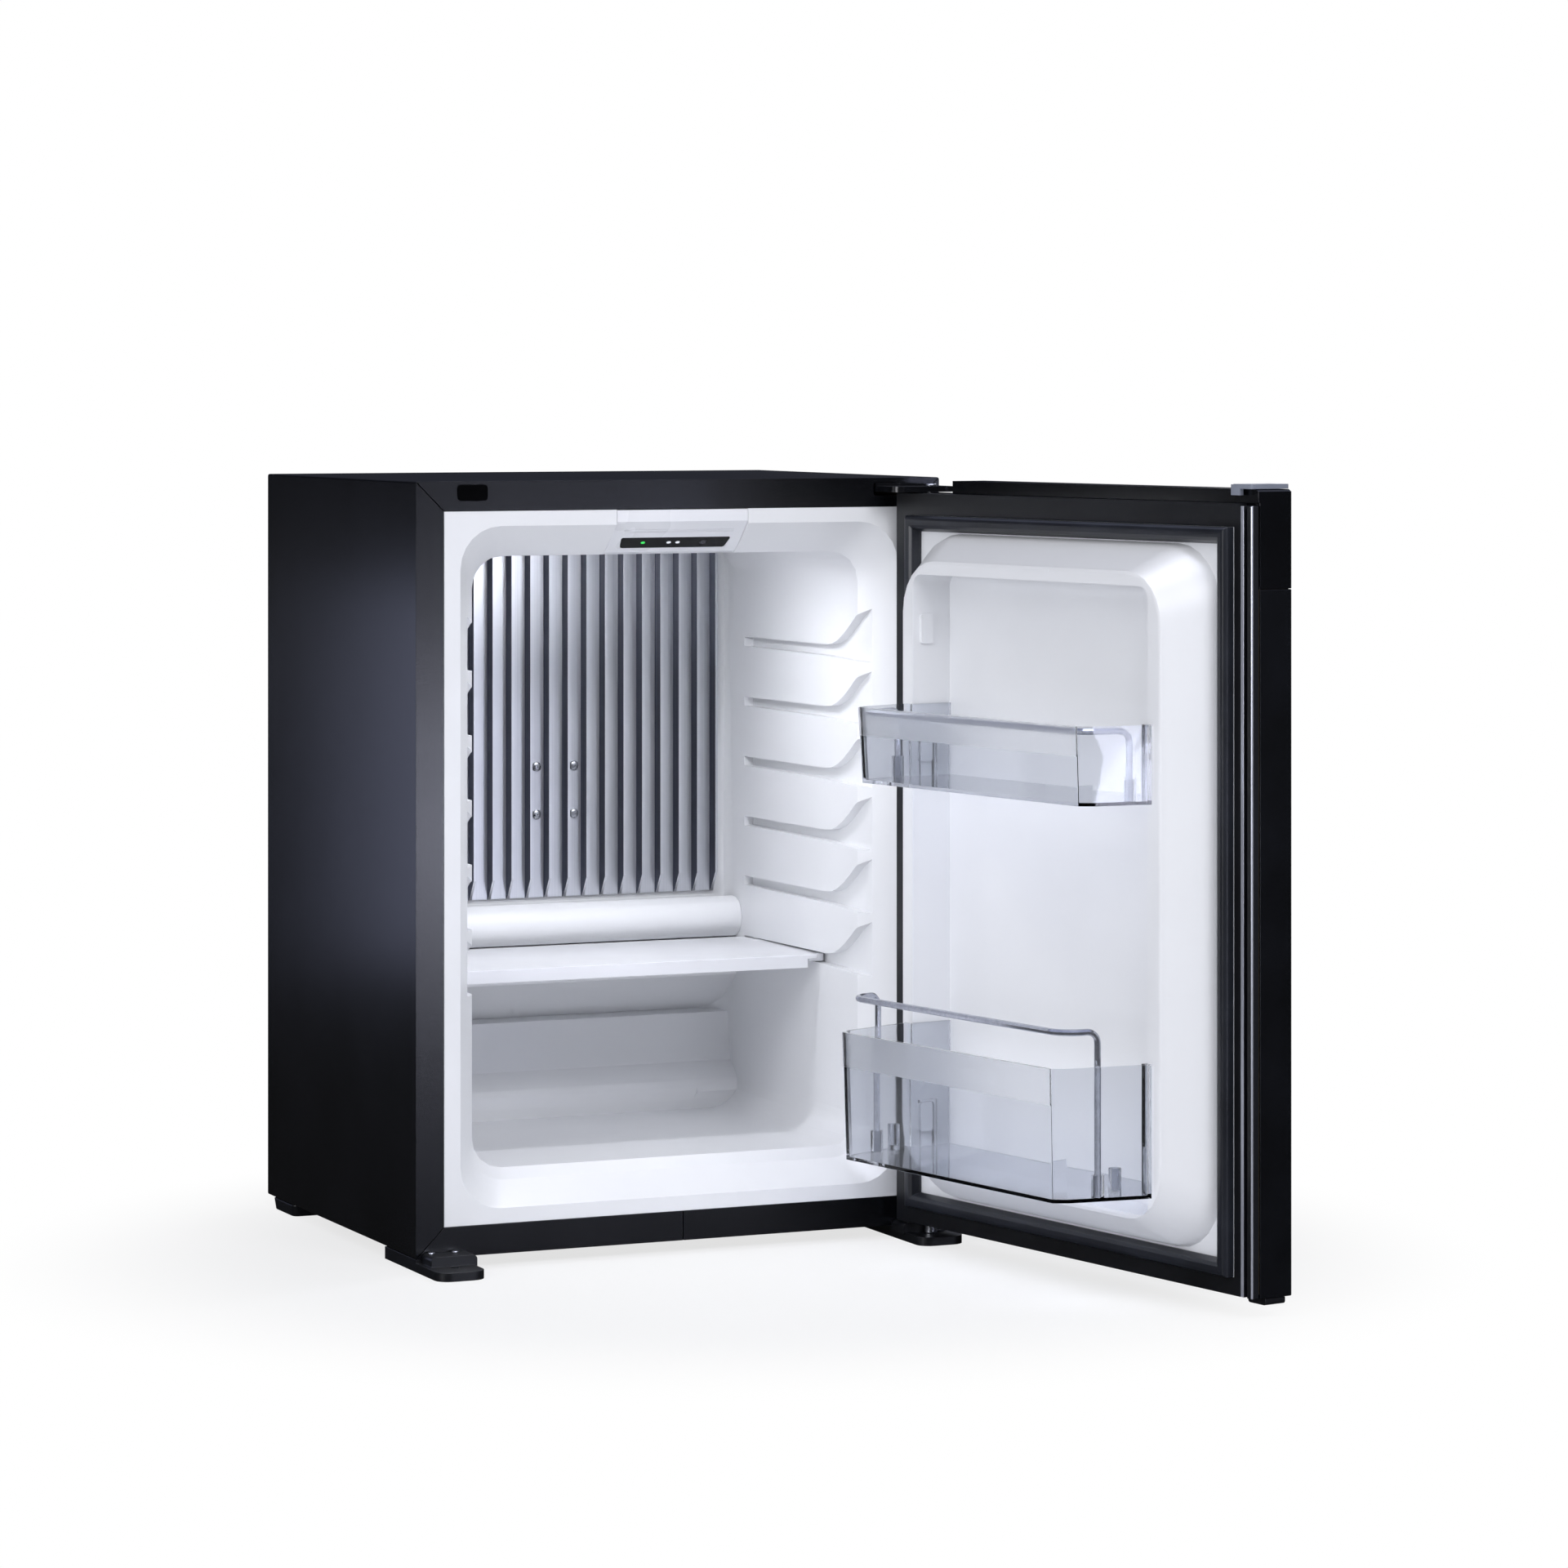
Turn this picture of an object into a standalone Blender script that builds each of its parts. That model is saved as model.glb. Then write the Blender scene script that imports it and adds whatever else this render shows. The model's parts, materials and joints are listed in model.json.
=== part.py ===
"""Minibar fridge: absorption cabinet with a finned evaporator, guide grooves and an open door.

Frame: X to the right seen from the front, Y into the depth, Z up, in metres. The sizes below are in
cabinet coordinates: X = 0 in the middle, Y = 0 on the front face, Z = 0 on the underside of the
casing. The door is shaped in its closed place, about the same zero, and turned open on its pivot.
"""

import math

import bmesh
import bpy
from mathutils import Matrix, Vector

MM = 0.001
GAP = 0.3 * MM

# Cabinet casing
CABINET_WIDTH = 402 * MM
CABINET_HEIGHT = 538.3 * MM
CABINET_DEPTH = 320 * MM
SHEET = 0.9 * MM
FRAME_WIDTH = 20.7 * MM
FRAME_LIP = 12 * MM
MITRE_GAP = 0.5 * MM
SEAM_GAP = 0.6 * MM

# Liner of the cabinet
LINER_WALL = 2.2 * MM
MOUTH_HALF = CABINET_WIDTH / 2 - 32.1 * MM
MOUTH_LOW = 30.7 * MM
RAMP_TOP = MOUTH_LOW + 16.7 * MM
MOUTH_HIGH = CABINET_HEIGHT - 30.3 * MM
MOUTH_DEPTH = 29 * MM
INNER_HALF = MOUTH_HALF - 19.9 * MM
INNER_LOW = 55.5 * MM
INNER_HIGH = MOUTH_HIGH - 23 * MM
MOUTH_CORNER = 30 * MM
INNER_CORNER = 22 * MM
BACK_CORNER = 20 * MM
BACK_WALL = CABINET_DEPTH - 58 * MM
STEP_FRONT = BACK_WALL - 15 * MM
STEP_TOP = 156 * MM
STEP_BACK = BACK_WALL + 8.7 * MM
STEP_LEVEL = 128.8 * MM
LEDGE_FRONT = BACK_WALL - 2.7 * MM
BULGE_TOP = 90 * MM
BULGE_FRONT = BACK_WALL - 20 * MM
BULGE_LEVEL = 68.7 * MM
POCKET_HALF = INNER_HALF - 34 * MM
POCKET_LOW = 62 * MM
POCKET_HIGH = 81 * MM
POCKET_DEPTH = 3 * MM

# Guide grooves for the shelf, six a side
GROOVE_COUNT = 6
GROOVE_TOP_LEVEL = 406.4 * MM
GROOVE_PITCH = 45.3 * MM
GROOVE_HEIGHT = 7.1 * MM
GROOVE_HALF = INNER_HALF + 7.2 * MM
GROOVE_BACK = BACK_WALL - 30.6 * MM
GROOVE_SWEEP_FROM = 82.6 * MM
GROOVE_SWEEP_TO = 31.5 * MM
GROOVE_SWEEP_RISE = 30.7 * MM
GROOVE_DROP = 2 * MM

# Evaporator
EVAPORATOR_CENTRE = 5 * MM
EVAPORATOR_LOW = 219.5 * MM
EVAPORATOR_HIGH = INNER_HIGH - 4 * MM
EVAPORATOR_PLATE = 3 * MM
FIN_COUNT = 18
FIN_PITCH = 15.1 * MM
FIN_THICK = 2 * MM
FIN_DEPTH = 10 * MM
FIN_CHAMFER = 15 * MM
SCREW_HEAD = 7.5 * MM
SCREW_HEAD_HEIGHT = 2.6 * MM
SCREW_SHANK = 4 * MM
EVAPORATOR_SCREW_HIGH = 318 * MM
EVAPORATOR_SCREW_LOW = 282 * MM
EVAPORATOR_SCREW_BAYS = (7, 9)

# Drip gutter
GUTTER_HIGH = 216 * MM
GUTTER_LOW = GUTTER_HIGH - 31.5 * MM
GUTTER_FRONT = BACK_WALL - 26 * MM
GUTTER_WALL = 2 * MM

# Shelf
SHELF_TOP = 186.5 * MM
SHELF_THICK = 3 * MM
SHELF_RUNNER = 5.6 * MM
SHELF_FRONT = 91.5 * MM
SHELF_BACK = BACK_WALL - 33 * MM
SHELF_SKIRT = SHELF_TOP - 9.5 * MM
SHELF_SIDE_PLAY = 1.2 * MM
SHELF_SKIRT_HALF = INNER_HALF - 10.4 * MM

# Control panel over the mouth
PANEL_HALF = 50.3 * MM
PANEL_BROW = MOUTH_HIGH + 0.6 * MM
PANEL_LIP_DEPTH = 25 * MM
PANEL_LIP_LOW = MOUTH_HIGH - 21.5 * MM
PANEL_THICK = 9 * MM
DISPLAY_HALF = 42 * MM
DISPLAY_HIGH = MOUTH_HIGH - 11.2 * MM
DISPLAY_LOW = MOUTH_HIGH - 18.4 * MM
DISPLAY_HIGH_DEPTH = 12.4 * MM
DISPLAY_LOW_DEPTH = 20.5 * MM
DISPLAY_THICK = 1.6 * MM
LENS_WIDE = 3.2 * MM
LENS_HIGH = 2.2 * MM
STATUS_X = -24 * MM
LEVEL_X = (-4.2 * MM, 2.7 * MM)
POWER_X = 22.4 * MM
POWER_HALF = 2.6 * MM
POWER_TRAVEL = 0.6 * MM

# Hinge
HINGE_X = CABINET_WIDTH / 2 - 19 * MM
HINGE_Y = -26 * MM
PIN_RADIUS = 2.5 * MM
PIN_CLEARANCE = 0.4 * MM
DOOR_ANGLE = math.radians(100.2)
HINGE_PLATE_LOW = CABINET_HEIGHT - 9.9 * MM
HINGE_PLATE_THICK = 4 * MM
HINGE_PLATE_LEFT = HINGE_X - 32 * MM
HINGE_PLATE_RIGHT = HINGE_X + 17 * MM
HINGE_PLATE_FRONT = -34 * MM
HINGE_PLATE_CORNER = 8 * MM
TONGUE_LEFT = HINGE_X - 32.6 * MM
TONGUE_RIGHT = HINGE_X - 13.1 * MM
TONGUE_BACK = 16 * MM
SLOT_LOW = CABINET_HEIGHT - 12.7 * MM
SLOT_HIGH = CABINET_HEIGHT - 3.4 * MM

# Feet
FOOT_HEIGHT = 9 * MM
FOOT_HALF_IN = HINGE_X - 17 * MM
FOOT_HALF_OUT = HINGE_X + 18.7 * MM
FOOT_PLATE = 6.2 * MM
FOOT_FRONT = -46 * MM
FOOT_BACK = 64 * MM
FOOT_CORNER = 10 * MM
FOOT_BLOCK_IN = HINGE_X - 19 * MM
FOOT_BLOCK_OUT = HINGE_X + 15 * MM
FOOT_BLOCK_FRONT = -20 * MM
FOOT_BLOCK_TOP = 4 * MM
REAR_FOOT_FRONT = CABINET_DEPTH - 57 * MM
REAR_FOOT_BACK = CABINET_DEPTH - 10 * MM
REAR_FOOT_WIDE = 34 * MM
FOOT_SCREWS = (HINGE_X - 8.3 * MM, HINGE_X + 9.4 * MM)
FOOT_SCREW_Y = -4.6 * MM
FOOT_SCREW_SHANK = 1.3 * MM
FOOT_SCREW_DEEP = 3.5 * MM
FOOT_SCREW_HIGH = 0.8 * MM

# Door
DOOR_HALF = CABINET_WIDTH / 2 - 0.5 * MM
DOOR_GAP = 9 * MM
DOOR_THICK = 34.5 * MM
DOOR_SKIN = 1 * MM
DOOR_EDGE = 3 * MM
DOOR_LOW = 5.5 * MM
DOOR_HIGH = CABINET_HEIGHT - 1.3 * MM
DOOR_SPLIT = DOOR_HIGH - 65.5 * MM
SPLIT_GAP = 0.5 * MM
RIM_LOW = 6 * MM
RIM_HIGH = DOOR_HIGH - 9.4 * MM
RIM_THICK = 6 * MM
GRIP_HIGH = 22 * MM
GRIP_DEEP = 11 * MM
PROFILE_WIDE = 12.5 * MM
PROFILE_GROOVE = 3.3 * MM
PROFILE_DEEP = 5 * MM
PROFILE_RISE = 0.6 * MM
CAP_SETBACK = 5 * MM
CAP_THICK = 3 * MM
MODULE_WALL = 1.6 * MM
GRIP_LOW = DOOR_SPLIT + 6.5 * MM
GRIP_HALF = DOOR_HALF - 50.5 * MM
HINGE_CLEAR = 42.5 * MM
BUSH_RADIUS = 5.5 * MM
BUSH_LENGTH = 11.5 * MM
LEDGE_MARGIN = 3 * MM
CLIP_LONG = 20 * MM
CLIP_THICK = 3.1 * MM
CLIP_TAB = 8 * MM
BLOCK_LOW = 0.7 * MM
BLOCK_INSET = 11.6 * MM
BLOCK_BACK = 28.6 * MM

# Door liner
LINER_SKIN = 2 * MM
DYKE_BASE_HALF = DOOR_HALF - 32 * MM
DYKE_TOP_HALF = DYKE_BASE_HALF - 23 * MM
DYKE_LOW = 30 * MM
DYKE_HIGH = DOOR_HIGH - 36.7 * MM
DYKE_HIGH_RUN = 19.3 * MM
DYKE_LOW_RUN = 21 * MM
DYKE_HEIGHT = 34.4 * MM
DYKE_CORNER = 45 * MM
RECESS_HALF = DYKE_TOP_HALF - 12.3 * MM
RECESS_LOW = 54.5 * MM
RECESS_HIGH = DYKE_HIGH - 28.3 * MM
RECESS_CORNER = 9 * MM
RECESS_FLOOR = 2 * MM
LUG_THICK = 2.4 * MM
LUG_NEAR = 18 * MM
LUG_FAR = 28.4 * MM
LUG_HEIGHT = 20.7 * MM
LUG_RISE = 12 * MM
SPARE_LUG_LOW = RECESS_HIGH - 49 * MM
NOTCH_HALF = 24.5 * MM
NOTCH_LEVEL = RECESS_HIGH + 6 * MM

# Gasket
GASKET_INSET = 19.4 * MM
GASKET_LOW = 18 * MM
GASKET_HIGH = DOOR_HIGH - 25 * MM
GASKET_WIDE = 11.3 * MM
GASKET_HEIGHT = 8.4 * MM

# Bins
BIN_WALL = 2.2 * MM
BIN_BACK = 35.5 * MM
UPPER_BIN_LOW = 328 * MM
UPPER_BIN_HIGH = UPPER_BIN_LOW + 52.7 * MM
UPPER_BIN_FRONT = 87 * MM
UPPER_BIN_NOSE_HALF = RECESS_HALF - 4 * MM
LOWER_BIN_LOW = 67.4 * MM
LOWER_BIN_HIGH = LOWER_BIN_LOW + 88.6 * MM
LOWER_BIN_FRONT = 104.5 * MM
LOWER_BIN_NOSE_HALF = RECESS_HALF - 9.2 * MM
BIN_BACK_HALF = RECESS_HALF + 5.8 * MM
BIN_DRAFT = 2.5 * MM
BIN_NOSE_RUN = 9 * MM
HOOK_REACH = 3 * MM
RAIL_RADIUS = 2.2 * MM
RAIL_BEND = 11 * MM
UPPER_RAIL_LEVEL = UPPER_BIN_HIGH - 3.7 * MM
UPPER_RAIL_FRONT = UPPER_BIN_FRONT - 6 * MM
UPPER_RAIL_LEG = 48 * MM
LOWER_RAIL_LEVEL = LOWER_BIN_HIGH + 23 * MM
LOWER_RAIL_FRONT = LOWER_BIN_FRONT - 8.5 * MM
LOWER_RAIL_LEG = 70 * MM
RAIL_LEG_BEND = 7.5 * MM
LOWER_RAIL_BEND = 17 * MM
UPPER_LEG_HALF = RECESS_HALF - 2.6 * MM
UPPER_BAR_HALF = RECESS_HALF - 11.2 * MM
LOWER_LEG_HALF = RECESS_HALF - 8.2 * MM
LOWER_BAR_HALF = RECESS_HALF - 12.2 * MM
SOCKET_HEIGHT = 17 * MM
SOCKET_WALL = 1.8 * MM

# Cooling unit on the rear
REAR_PANEL = 0.8 * MM
UNIT_PIPE = 7 * MM
UNIT_LINE = 36 * MM
UNIT_BEND = 13 * MM
CONDENSER_LEVEL = CABINET_HEIGHT - 68.3 * MM
CONDENSER_LEFT = -120 * MM
CONDENSER_FIN_WIDE = 40 * MM
CONDENSER_FIN_HIGH = 48 * MM
CONDENSER_FIN_THICK = 1.2 * MM
CONDENSER_FIN_PITCH = 13 * MM
CONDENSER_FINS = 15
COIL_HALF = 95 * MM
COIL_LOW = 150 * MM
COIL_RUNS = 5
COIL_PITCH = 34 * MM
VESSEL_RADIUS = 24 * MM
VESSEL_HALF = 85 * MM
VESSEL_LEVEL = 95 * MM
VESSEL_X = -45 * MM
SOLUTION_PIPE = 5 * MM
BOILER_X = 135 * MM
BOILER_RADIUS = 25 * MM
BOILER_LOW = 114 * MM
BOILER_HIGH = 330 * MM
HEATER_RADIUS = 5 * MM
HEATER_OFFSET = 12 * MM
HEATER_HIGH = 245 * MM
STRAP_THICK = 1.5 * MM
STRAP_WIDE = 14 * MM
STRAP_EAR = 9 * MM
BOX_WIDE = 96 * MM
BOX_HIGH = 62 * MM
BOX_DEEP = 48 * MM
BOX_X = 118 * MM
BOX_LOW = 18 * MM
BOX_CORNER = 4 * MM
INLET_WIDE = 31 * MM
INLET_HIGH = 24 * MM
INLET_DEEP = 18 * MM
PLUG_HALF = 95 * MM
PLUG_LOW = 300 * MM
PLUG_HIGH = 430 * MM
PLUG_MARGIN = 40 * MM
PLUG_SIDE_MARGIN = 25 * MM


def material(name, colour, roughness, metallic=0.0):
    """Principled material with a flat colour."""
    made = bpy.data.materials.new(name)
    made.use_nodes = True
    shader = made.node_tree.nodes["Principled BSDF"]
    shader.inputs["Base Color"].default_value = (*colour, 1.0)
    shader.inputs["Roughness"].default_value = roughness
    shader.inputs["Metallic"].default_value = metallic
    made.diffuse_color = (*colour, 1.0)
    return made


def solid(shape):
    """Scene object from a closed bmesh, with its faces turned outward."""
    bmesh.ops.recalc_face_normals(shape, faces=shape.faces)
    mesh = bpy.data.meshes.new("shape")
    shape.to_mesh(mesh)
    shape.free()
    body = bpy.data.objects.new("shape", mesh)
    bpy.context.collection.objects.link(body)
    return body


def loft(rings):
    """Solid through rings of equal point counts, closed by a face at both ends."""
    shape = bmesh.new()
    rows = [[shape.verts.new(point) for point in ring] for ring in rings]
    sides = []
    for near, far in zip(rows, rows[1:]):
        for index, vertex in enumerate(near):
            after = (index + 1) % len(near)
            sides.append(shape.faces.new((vertex, near[after], far[after], far[index])))
    bmesh.ops.connect_verts_nonplanar(shape, angle_limit=math.radians(0.3), faces=sides)
    shape.faces.new(rows[0])
    shape.faces.new(rows[-1])
    return solid(shape)


def sweep(rings):
    """Closed ring solid through sections that come back to the first."""
    shape = bmesh.new()
    rows = [[shape.verts.new(point) for point in ring] for ring in rings]
    for near, far in zip(rows, rows[1:] + rows[:1]):
        for index, vertex in enumerate(near):
            after = (index + 1) % len(near)
            shape.faces.new((vertex, near[after], far[after], far[index]))
    return solid(shape)


def prism(outline, axis, low, high):
    """Outline in the two other axes, in x, y, z order, pushed along one axis."""
    spread = {"x": lambda a, b, c: (c, a, b), "y": lambda a, b, c: (a, c, b), "z": lambda a, b, c: (a, b, c)}
    place = spread[axis]
    return loft([[place(a, b, level) for a, b in outline] for level in (low, high)])


def box(x0, x1, y0, y1, z0, z1):
    """Square block between six planes."""
    return prism([(x0, y0), (x1, y0), (x1, y1), (x0, y1)], "z", z0, z1)


def rounded(a0, a1, b0, b1, radius, steps=4):
    """Outline of a rectangle with round corners, one radius or four from the first quadrant on."""
    radii = radius if isinstance(radius, tuple) else (radius,) * 4
    corners = ((a1, b1, -1, -1), (a0, b1, 1, -1), (a0, b0, 1, 1), (a1, b0, -1, 1))
    points = []
    for quarter, ((a, b, inward_a, inward_b), size) in enumerate(zip(corners, radii)):
        if size == 0:
            points.append((a, b))
            continue
        for step in range(steps + 1):
            angle = math.pi / 2 * (quarter + step / steps)
            centre_a = a + inward_a * size
            centre_b = b + inward_b * size
            points.append((centre_a + size * math.cos(angle), centre_b + size * math.sin(angle)))
    return points


def cylinder(radius, start, end, sides=24, end_radius=None):
    """Round rod or cone between two points."""
    start = Vector(start)
    end = Vector(end)
    shape = bmesh.new()
    far_radius = radius if end_radius is None else end_radius
    turn = (end - start).to_track_quat("Z", "Y").to_matrix().to_4x4()
    place = Matrix.Translation((start + end) / 2) @ turn
    bmesh.ops.create_cone(shape, cap_ends=True, segments=sides, radius1=radius, radius2=far_radius,
                          depth=(end - start).length, matrix=place)
    return solid(shape)


def revolve(profile, sides=24):
    """Solid turned about Z from a profile of (radius, height) points whose ends lie on the axis."""
    shape = bmesh.new()
    line = [shape.verts.new((radius, 0, height)) for radius, height in profile]
    edges = [shape.edges.new(pair) for pair in zip(line, line[1:])]
    bmesh.ops.spin(shape, geom=line + edges, axis=(0, 0, 1), cent=(0, 0, 0), steps=sides,
                   angle=2 * math.pi, use_merge=True)
    bmesh.ops.remove_doubles(shape, verts=shape.verts, dist=0.01 * MM)
    return solid(shape)


def bent(corners, radius, steps=5):
    """Points of a path whose inner corners are arcs, of one radius or of one for each corner."""
    path = [Vector(corner) for corner in corners]
    points = [path[0]]
    radii = radius if isinstance(radius, tuple) else (radius,) * (len(path) - 2)
    for before, corner, after, radius in zip(path, path[1:], path[2:], radii):
        toward = (before - corner).normalized()
        away = (after - corner).normalized()
        half = toward.angle(away) / 2
        reach = radius / math.tan(half)
        centre = corner + (toward + away).normalized() * radius / math.sin(half)
        first = corner + toward * reach - centre
        last = corner + away * reach - centre
        turn = first.angle(last)
        for step in range(steps + 1):
            share = step / steps
            near = math.sin((1 - share) * turn) / math.sin(turn)
            far = math.sin(share * turn) / math.sin(turn)
            points.append(centre + first * near + last * far)
    points.append(path[-1])
    return points


def tube(points, radius, roundness=2):
    """Round bar along a path, with flat ends."""
    curve = bpy.data.curves.new("path", "CURVE")
    curve.dimensions = "3D"
    curve.bevel_depth = radius
    curve.bevel_resolution = roundness
    curve.use_fill_caps = True
    line = curve.splines.new("POLY")
    line.points.add(len(points) - 1)
    for spot, point in zip(line.points, points):
        spot.co = (*point, 1.0)
    holder = bpy.data.objects.new("path", curve)
    bpy.context.collection.objects.link(holder)
    graph = bpy.context.evaluated_depsgraph_get()
    mesh = bpy.data.meshes.new_from_object(holder.evaluated_get(graph))
    bpy.data.objects.remove(holder)
    body = bpy.data.objects.new("shape", mesh)
    bpy.context.collection.objects.link(body)
    shape = bmesh.new()
    shape.from_mesh(mesh)
    bmesh.ops.remove_doubles(shape, verts=shape.verts, dist=0.01 * MM)
    bmesh.ops.recalc_face_normals(shape, faces=shape.faces)
    shape.to_mesh(mesh)
    shape.free()
    return body


def boolean(body, other, kind):
    """Change one solid by another, which is used up."""
    change = body.modifiers.new("change", "BOOLEAN")
    change.operation = kind
    change.solver = "EXACT"
    change.object = other
    graph = bpy.context.evaluated_depsgraph_get()
    made = bpy.data.meshes.new_from_object(body.evaluated_get(graph))
    body.modifiers.clear()
    body.data = made
    bpy.data.objects.remove(other)
    return body


def close_slivers(body, distance):
    """Join points that lie closer than a distance, and drop the faces that this leaves flat."""
    shape = bmesh.new()
    shape.from_mesh(body.data)
    bmesh.ops.triangulate(shape, faces=shape.faces)
    bmesh.ops.remove_doubles(shape, verts=shape.verts, dist=distance)
    bmesh.ops.dissolve_degenerate(shape, edges=shape.edges, dist=distance)
    bmesh.ops.holes_fill(shape, edges=shape.edges, sides=4)
    bmesh.ops.recalc_face_normals(shape, faces=shape.faces)
    shape.to_mesh(body.data)
    shape.free()
    return body


def cut(body, *tools):
    """Body without the space of each tool."""
    for tool in tools:
        boolean(body, tool, "DIFFERENCE")
    return body


def unite(body, *others):
    """Body grown by each of the others."""
    for other in others:
        boolean(body, other, "UNION")
    return body


def gather(*bodies):
    """Solids that don't touch, held in one mesh as the tool of a single change."""
    shape = bmesh.new()
    for body in bodies:
        shape.from_mesh(body.data)
        bpy.data.objects.remove(body)
    return solid(shape)


def common(body, *others):
    """Space that body and the others share."""
    for other in others:
        boolean(body, other, "INTERSECT")
    return body


def moved(body, x=0.0, y=0.0, z=0.0, turn=None):
    """Solid shifted, and turned first where a matrix is given."""
    change = Matrix.Translation((x, y, z))
    if turn is not None:
        change = change @ turn.to_4x4()
    body.data.transform(change)
    return body


def mirrored(body):
    """Solid as seen in the plane X = 0."""
    body.data.transform(Matrix.Scale(-1, 4, (1, 0, 0)))
    body.data.flip_normals()
    return body


def keep(body, name, finish, parent, smooth=None):
    """Name a finished solid, give it its material and hang it on its carrier."""
    body.name = name
    body.data.name = name
    body.data.materials.clear()
    body.data.materials.append(finish)
    for face in body.data.polygons:
        face.material_index = 0
    if smooth is not None:
        body.data.shade_smooth()
        body.data.set_sharp_from_angle(angle=math.radians(smooth))
    body.parent = parent
    return body


def carrier(name, place, parent=None, turn=0.0):
    """Empty that carries the pieces of one body, on its joint's axis."""
    made = bpy.data.objects.new(name, None)
    bpy.context.collection.objects.link(made)
    made.location = place
    made.rotation_euler = (0.0, 0.0, turn)
    made.parent = parent
    return made


for leftover in list(bpy.data.objects):
    bpy.data.objects.remove(leftover)

BLACK_STEEL = material("black_painted_steel", (0.012, 0.013, 0.017), 0.55)
BLACK_PLASTIC = material("black_plastic", (0.015, 0.016, 0.02), 0.45)
GLOSS_BLACK = material("gloss_black", (0.01, 0.011, 0.014), 0.12)
WHITE_LINER = material("white_liner", (0.83, 0.84, 0.88), 0.35)
WHITE_PLASTIC = material("white_plastic", (0.84, 0.85, 0.88), 0.3)
FOAM = material("rigid_foam", (0.75, 0.66, 0.42), 0.9)
SATIN_ALUMINIUM = material("satin_aluminium", (0.7, 0.71, 0.74), 0.35, 1.0)
BRIGHT_STEEL = material("bright_steel", (0.62, 0.63, 0.66), 0.22, 1.0)
ZINC_STEEL = material("zinc_steel", (0.55, 0.56, 0.57), 0.4, 1.0)
GREY_PLASTIC = material("grey_plastic", (0.2, 0.21, 0.24), 0.4)
SEAL_RUBBER = material("seal_rubber", (0.02, 0.021, 0.025), 0.6)
CLEAR_PLASTIC = material("clear_plastic", (0.82, 0.84, 0.88), 0.08)
GREEN_LENS = material("green_lens", (0.02, 0.7, 0.05), 0.2)
WHITE_LENS = material("white_lens", (0.9, 0.93, 1.0), 0.2)


def frame_opening(inset, front, back):
    """Block that fills the casing's front opening, drawn in by an inset from the casing's sides."""
    half = CABINET_WIDTH / 2 - inset
    return box(-half, half, front, back, inset, CABINET_HEIGHT - inset)


def outer_wrapper(parent):
    """One steel strip bent round the four sides, its front edge folded in as the black frame."""
    half = CABINET_WIDTH / 2
    outline = rounded(-half, half, 0, CABINET_HEIGHT, 1.5 * MM, 2)
    casing = prism(outline, "y", 0, CABINET_DEPTH)
    inner_half = half - SHEET
    hollow = prism(rounded(-inner_half, inner_half, SHEET, CABINET_HEIGHT - SHEET, 0.6 * MM, 2), "y",
                   SHEET, CABINET_DEPTH + SHEET)
    lip = frame_opening(FRAME_WIDTH - SHEET, SHEET / 2, FRAME_LIP)
    mouth = frame_opening(FRAME_WIDTH, -SHEET, FRAME_LIP + SHEET)
    casing = cut(casing, hollow)
    casing = unite(casing, lip)
    casing = cut(casing, mouth)
    for side in (-1, 1):
        for low, corner in ((0, 0), (CABINET_HEIGHT, 1)):
            inward = 1 - 2 * corner
            slit = box(-FRAME_WIDTH, FRAME_WIDTH, -SHEET, FRAME_LIP + SHEET, -MITRE_GAP / 2, MITRE_GAP / 2)
            turn = Matrix.Rotation(-math.radians(45) * -side * inward, 3, "Y")
            slit = moved(slit, turn=turn)
            reach = FRAME_WIDTH * 0.75
            middle = side * (half - reach)
            casing = cut(casing, moved(slit, middle, 0, low + inward * reach))
    seam = box(-SEAM_GAP / 2, SEAM_GAP / 2, -SHEET, CABINET_DEPTH + SHEET, -SHEET, FRAME_WIDTH + SHEET)
    casing = cut(casing, seam)
    for side in (-1, 1):
        slot_mid = side * (TONGUE_LEFT + TONGUE_RIGHT) / 2
        wide = (TONGUE_RIGHT - TONGUE_LEFT) / 2 + GAP * 2
        slot = prism(rounded(slot_mid - wide, slot_mid + wide, SLOT_LOW, SLOT_HIGH, 2 * MM, 3), "y",
                     -SHEET, SHEET * 2)
        casing = cut(casing, slot)
    return keep(casing, "outer_wrapper", BLACK_STEEL, parent)


def grow(outline, distance):
    """Closed outline moved outward by a distance, its corners kept sharp."""
    area = sum(a[0] * b[1] - b[0] * a[1] for a, b in zip(outline, outline[1:] + outline[:1]))
    side = 1 if area > 0 else -1
    grown = []
    for before, corner, after in zip(outline[-1:] + outline[:-1], outline, outline[1:] + outline[:1]):
        first = (Vector(corner) - Vector(before)).normalized()
        second = (Vector(after) - Vector(corner)).normalized()
        normal = Vector((first.y + second.y, -first.x - second.x)) * side
        normal.normalize()
        share = normal.dot(Vector((first.y, -first.x)) * side)
        moved_corner = Vector(corner) + normal * distance / share
        grown.append((moved_corner.x, moved_corner.y))
    return grown


def liner_profile(grown):
    """Side view of the inner space behind the mouth, grown by a wall; points of (depth, level)."""
    ledge = GUTTER_LOW - GAP
    profile = [
        (MOUTH_DEPTH - 2 * MM, INNER_LOW),
        (MOUTH_DEPTH - 2 * MM, INNER_HIGH),
        (BACK_WALL, INNER_HIGH),
        (BACK_WALL, ledge),
        (STEP_FRONT, ledge),
        (STEP_FRONT, STEP_TOP),
        (STEP_BACK, STEP_LEVEL),
        (LEDGE_FRONT, STEP_LEVEL - 2.3 * MM),
        (LEDGE_FRONT - 3.3 * MM, BULGE_TOP),
        (BULGE_FRONT + 3 * MM, BULGE_LEVEL + 9 * MM),
        (BULGE_FRONT, BULGE_LEVEL),
        (BULGE_FRONT + 3 * MM, INNER_LOW),
    ]
    return grow(profile, grown) if grown else profile


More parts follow.
